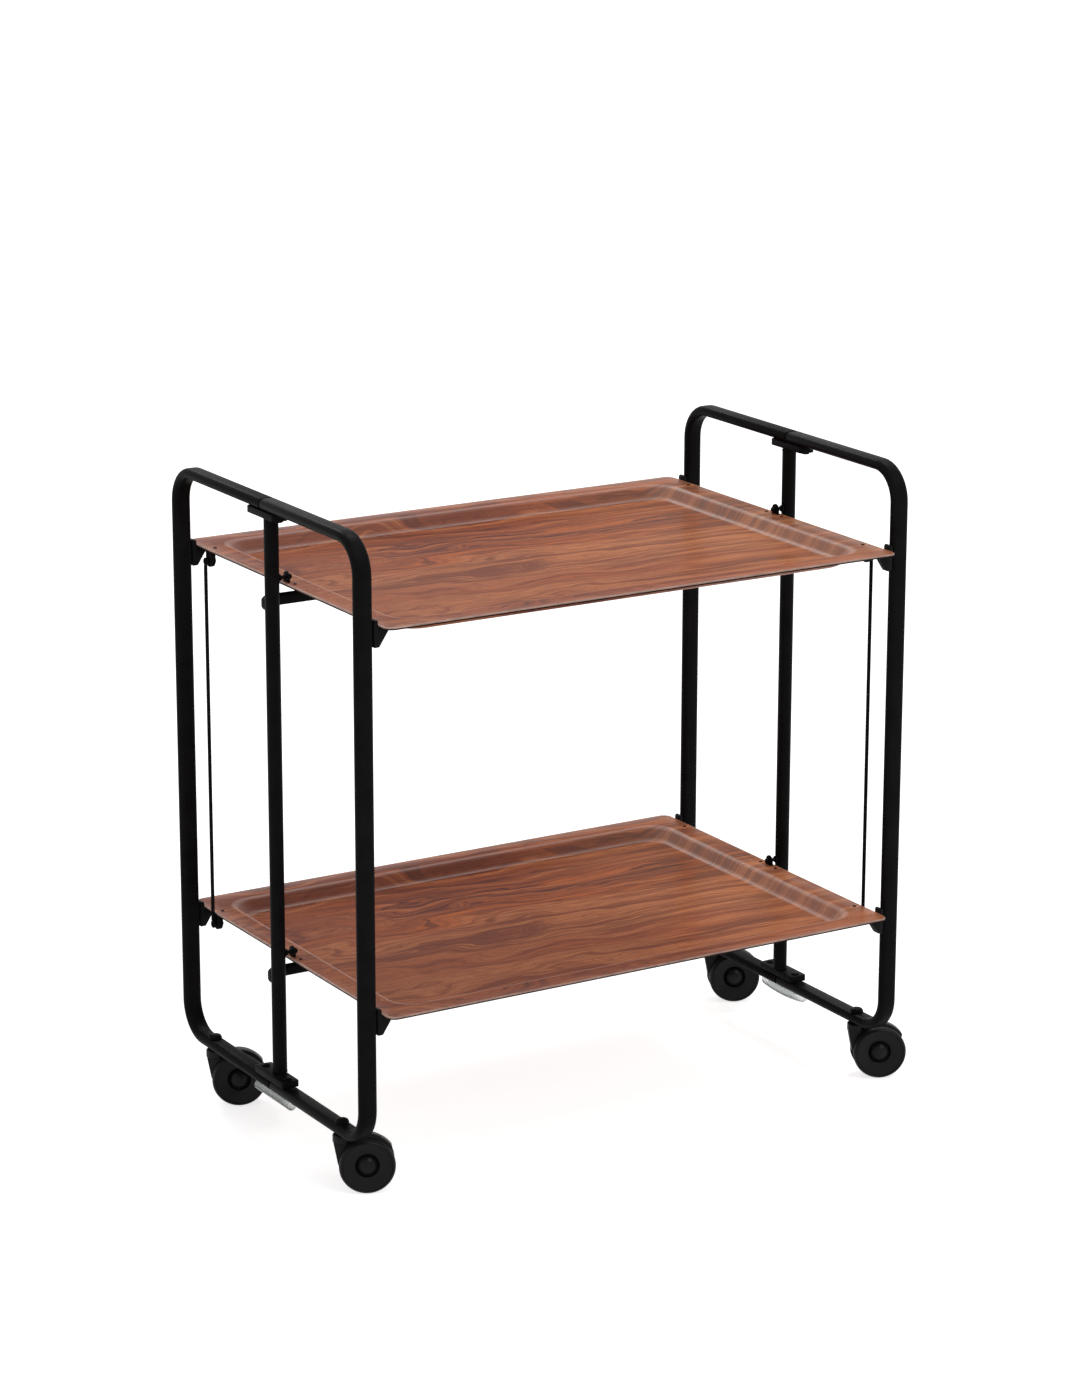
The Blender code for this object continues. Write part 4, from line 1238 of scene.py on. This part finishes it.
class TROLLEY_OT_casters(bpy.types.Operator):
    """Model the four twin-wheel casters with their domed nuts"""
    bl_idname = "trolley.casters"
    bl_label = "Casters"

    def execute(self, context):
        look = settings("casters")
        plastic = finish_named("caster_moulding", moulded, tuple(look.plastic), 0.34, 1100.0, 0.11)
        tread = finish_named("caster_tread", moulded, tuple(look.tread), 0.5, 700.0)
        for side, _ in SIDES:
            for end in ENDS:
                corner = f"{side}_{end}"
                stem = joint_place(f"{corner}_swivel")[0]
                axle, axis = joint_place(f"{corner}_roll")
                self.wheel(corner, axle, axis, look, plastic, tread)
                self.fork(corner, stem, axle, look, plastic)
                self.nut(corner, stem)
        return {"FINISHED"}

    def disc_rings(self, radius, inner, look):
        """A disc, from its inner face out to the raised ring, the dish, the recess and the hub cap."""
        outer = look.half
        face = outer - HUB_FACE
        rings = profile(radius, inner, DISC_INSIDE) + profile(radius, outer, DISC_OUTSIDE)
        rings.append((radius * DISH_PLACE, outer - DISH_DEPTH))
        rings += profile(look.hub, face, DISC_RECESS)
        return rings + dome(look.hub - CAP_GAP, face - CAP_BASE, CAP_CROWN, (5, 14, 25, 37, 49, 61, 73, 84))

    def wheel(self, corner, axle, axis, look, plastic, tread):
        """Two discs back to back on the axle."""
        name = f"{corner}_caster_wheel"
        low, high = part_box(name)
        radius = (high.z - low.z) / 2
        inner = look.web + AXLE_GAP
        rings = self.disc_rings(radius, inner, look)
        discs = [turned(f"{name}_disc_{number}", rings, 56, axle, axis * facing)
                 for number, facing in enumerate((1, -1))]
        rings = [(AXLE_RADIUS, -inner - AXLE_SPARE), (AXLE_RADIUS, inner + AXLE_SPARE)]
        hub = turned(f"{name}_axle", rings, 24, axle, axis)
        piece = joined(f"{name}_discs", discs + [hub])
        cover(piece, plastic, tread)
        for face in piece.data.polygons:
            offset = face.center - axle
            from_axis = (offset - axis * offset.dot(axis)).length
            face.material_index = 1 if from_axis > radius - TREAD_DEPTH else 0
        dress(piece, f"{corner}_wheel", name, angle=32.0)

    def fork(self, corner, stem, axle, look, plastic):
        """The body of the caster: a collar under the tube, and a curved web between the discs."""
        name = f"{corner}_caster_fork"
        trail = Vector((axle.x - stem.x, axle.y - stem.y, 0.0))
        hub = (trail.length, axle.z)
        top = stem.z - FORK_TOP
        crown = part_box(f"{corner}_caster_wheel")[1].z - axle.z + FORK_OVER
        rear = -look.collar * FORK_REAR
        outline = [(rear, top), (rear, stem.z - COLLAR_TALL), (trail.length - look.web_back, axle.z)]
        outline += arc(hub, FORK_BOSS, -120, 10, 10)
        outline += [polar(hub, crown - FORK_NOSE, 30)]
        outline += arc(hub, crown, 34, 100, 12)
        outline += [(look.collar, top)]
        web = plate(f"{name}_web", outline, 2 * look.web)
        # The plate's own X lies along the trail, and its Y stands up.
        stand(web, (stem.x, stem.y, 0.0), trail.cross(Vector(UP)), UP)
        soften(web, FORK_EDGE)
        rings = profile(look.collar, -COLLAR_TALL, COLLAR_FOOT) + profile(look.collar, 0.0, COLLAR_TOP)
        rings += [(COLLAR_BORE, 0.0), (STEM_RADIUS, STEM_CHAMFER),
                  (STEM_RADIUS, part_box(name)[1].z - stem.z)]
        piece = joined(f"{name}_body", [web, turned(f"{name}_collar", rings, 40, stem)])
        dress(piece, f"{corner}_caster", name, plastic)

    def nut(self, corner, stem):
        """A domed nut on a thin washer, over the bottom tube."""
        name = f"{corner}_caster_nut"
        low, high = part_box(name)
        radius = (high.x - low.x) / 2
        rise = high.z - low.z
        foot = rise * NUT_DOME_FOOT
        rings = [(radius, 0.0), (radius, WASHER_TALL), (radius * NUT_SIDE, NUT_FOOT),
                 (radius * NUT_SIDE, rise * NUT_SIDE_TOP)]
        rings += dome(radius * NUT_DOME, foot, rise - foot, (0, 20, 38, 54, 68, 80))
        piece = turned(f"{name}_dome", rings, 32, (stem.x, stem.y, low.z))
        dress(piece, f"{corner}_caster", name, black())


# Floor, light and camera

FLOOR_SIZE = 60.0
# How brightly the floor itself shows to the camera, so that it comes out near white.
FLOOR_GLOW = 0.74
WORLD_LIGHT = 0.5
WORLD_SEEN = 1.0
# Name, bearing from +Y, height over the horizon, strength and angular size of each sun lamp.
LAMPS = (("key", 165.0, 50.0, 0.75, 30.0), ("rear_right", 45.0, 55.0, 0.7, 14.0),
         ("rear", 10.0, 35.0, 0.6, 14.0))
SENSOR_WIDTH = 36.0


class TROLLEY_OT_stage(bpy.types.Operator):
    """Lay the floor, set the lamps and the world, and place the camera"""
    bl_idname = "trolley.stage"
    bl_label = "Stage"

    def execute(self, context):
        look = settings("stage")
        self.floor(look)
        for lamp in LAMPS:
            self.lamp(*lamp)
        self.world()
        self.camera(look)
        context.scene.view_settings.view_transform = "Standard"
        return {"FINISHED"}

    def floor(self, look):
        piece = stop(start(bpy.ops.mesh.primitive_plane_add, "floor", size=FLOOR_SIZE,
                           location=(0.0, 0.0, 0.0)))
        made = Recipe("floor_white", look.floor, 0.9, Specular_IOR_Level=0.0, Emission_Color=WHITE)
        glow = made.times(made.seen("Camera", "Glossy"), FLOOR_GLOW)
        made.link(glow, made.shader.inputs["Emission Strength"])
        cover(piece, made.material)

    def lamp(self, name, bearing, height, strength, spread):
        """A far lamp: soft light from one direction."""
        data = bpy.data.lights.new(name, "SUN")
        data.energy = strength
        data.angle = math.radians(spread)
        lamp = bpy.data.objects.new(name, data)
        bpy.context.collection.objects.link(lamp)
        flat, rise = polar((0.0, 0.0), 1.0, height)
        north, east = polar((0.0, 0.0), flat, bearing)
        lamp.rotation_mode = "QUATERNION"
        lamp.rotation_quaternion = Vector((east, north, rise)).to_track_quat("Z", "Y")

    def world(self):
        """A pale world that the camera and the gloss see as white."""
        world = bpy.data.worlds.new("white_room")
        bpy.context.scene.world = world
        world.use_nodes = True
        room = Nodes(world.node_tree)
        ground = room.tree.nodes["Background"]
        ground.inputs["Color"].default_value = WHITE
        seen = room.seen("Camera", "Glossy", "Transmission")
        room.between(seen, WORLD_LIGHT, WORLD_SEEN, ground.inputs["Strength"])

    def camera(self, look):
        """The photograph's viewpoint."""
        data = bpy.data.cameras.new("camera")
        data.lens = look.lens
        data.sensor_width = SENSOR_WIDTH
        camera = bpy.data.objects.new("camera", data)
        bpy.context.collection.objects.link(camera)
        # An unturned camera looks straight down, so the level view is a quarter turn up from there.
        turn = Matrix.Rotation(-look.yaw, 4, "Z")
        turn = turn @ Matrix.Rotation(math.pi / 2 - look.pitch, 4, "X") @ Matrix.Rotation(look.roll, 4, "Z")
        camera.matrix_world = Matrix.Translation(Vector(look.place)) @ turn
        bpy.context.scene.camera = camera


GROUPS = {"trays": TrolleyTrays, "frame": TrolleyFrame, "wire": TrolleyWire, "casters": TrolleyCasters,
          "stage": TrolleyStage}
PIECES = (TROLLEY_OT_trays, TROLLEY_OT_half_frames, TROLLEY_OT_posts, TROLLEY_OT_hinges,
          TROLLEY_OT_springs, TROLLEY_OT_pivots, TROLLEY_OT_tie_rods, TROLLEY_OT_corner_clips,
          TROLLEY_OT_casters, TROLLEY_OT_stage)


class TROLLEY_PT_panel(bpy.types.Panel):
    """The trolley's pieces, in the order in which they are made"""
    bl_idname = "TROLLEY_PT_panel"
    bl_label = "Folding serving trolley"
    bl_space_type = "VIEW_3D"
    bl_region_type = "UI"
    bl_category = "Trolley"

    def draw(self, context):
        for kind in PIECES:
            self.layout.operator(kind.bl_idname)
        for name in GROUPS:
            group = getattr(context.scene, "trolley_" + name)
            box = self.layout.box()
            box.label(text=name.capitalize())
            for key in GROUPS[name].__annotations__:
                box.prop(group, key)


def register():
    for kind in (*GROUPS.values(), *PIECES, TROLLEY_PT_panel):
        bpy.utils.register_class(kind)
    for name, kind in GROUPS.items():
        setattr(bpy.types.Scene, "trolley_" + name, bpy.props.PointerProperty(type=kind))


def unregister():
    for name in GROUPS:
        delattr(bpy.types.Scene, "trolley_" + name)
    for kind in reversed((*GROUPS.values(), *PIECES, TROLLEY_PT_panel)):
        bpy.utils.unregister_class(kind)


def main():
    register()
    bpy.ops.trolley.trays()
    bpy.ops.trolley.half_frames()
    bpy.ops.trolley.posts()
    bpy.ops.trolley.hinges()
    bpy.ops.trolley.springs()
    bpy.ops.trolley.pivots()
    bpy.ops.trolley.tie_rods()
    bpy.ops.trolley.corner_clips()
    bpy.ops.trolley.casters()
    bpy.ops.trolley.stage()


if __name__ == "__main__":
    main()
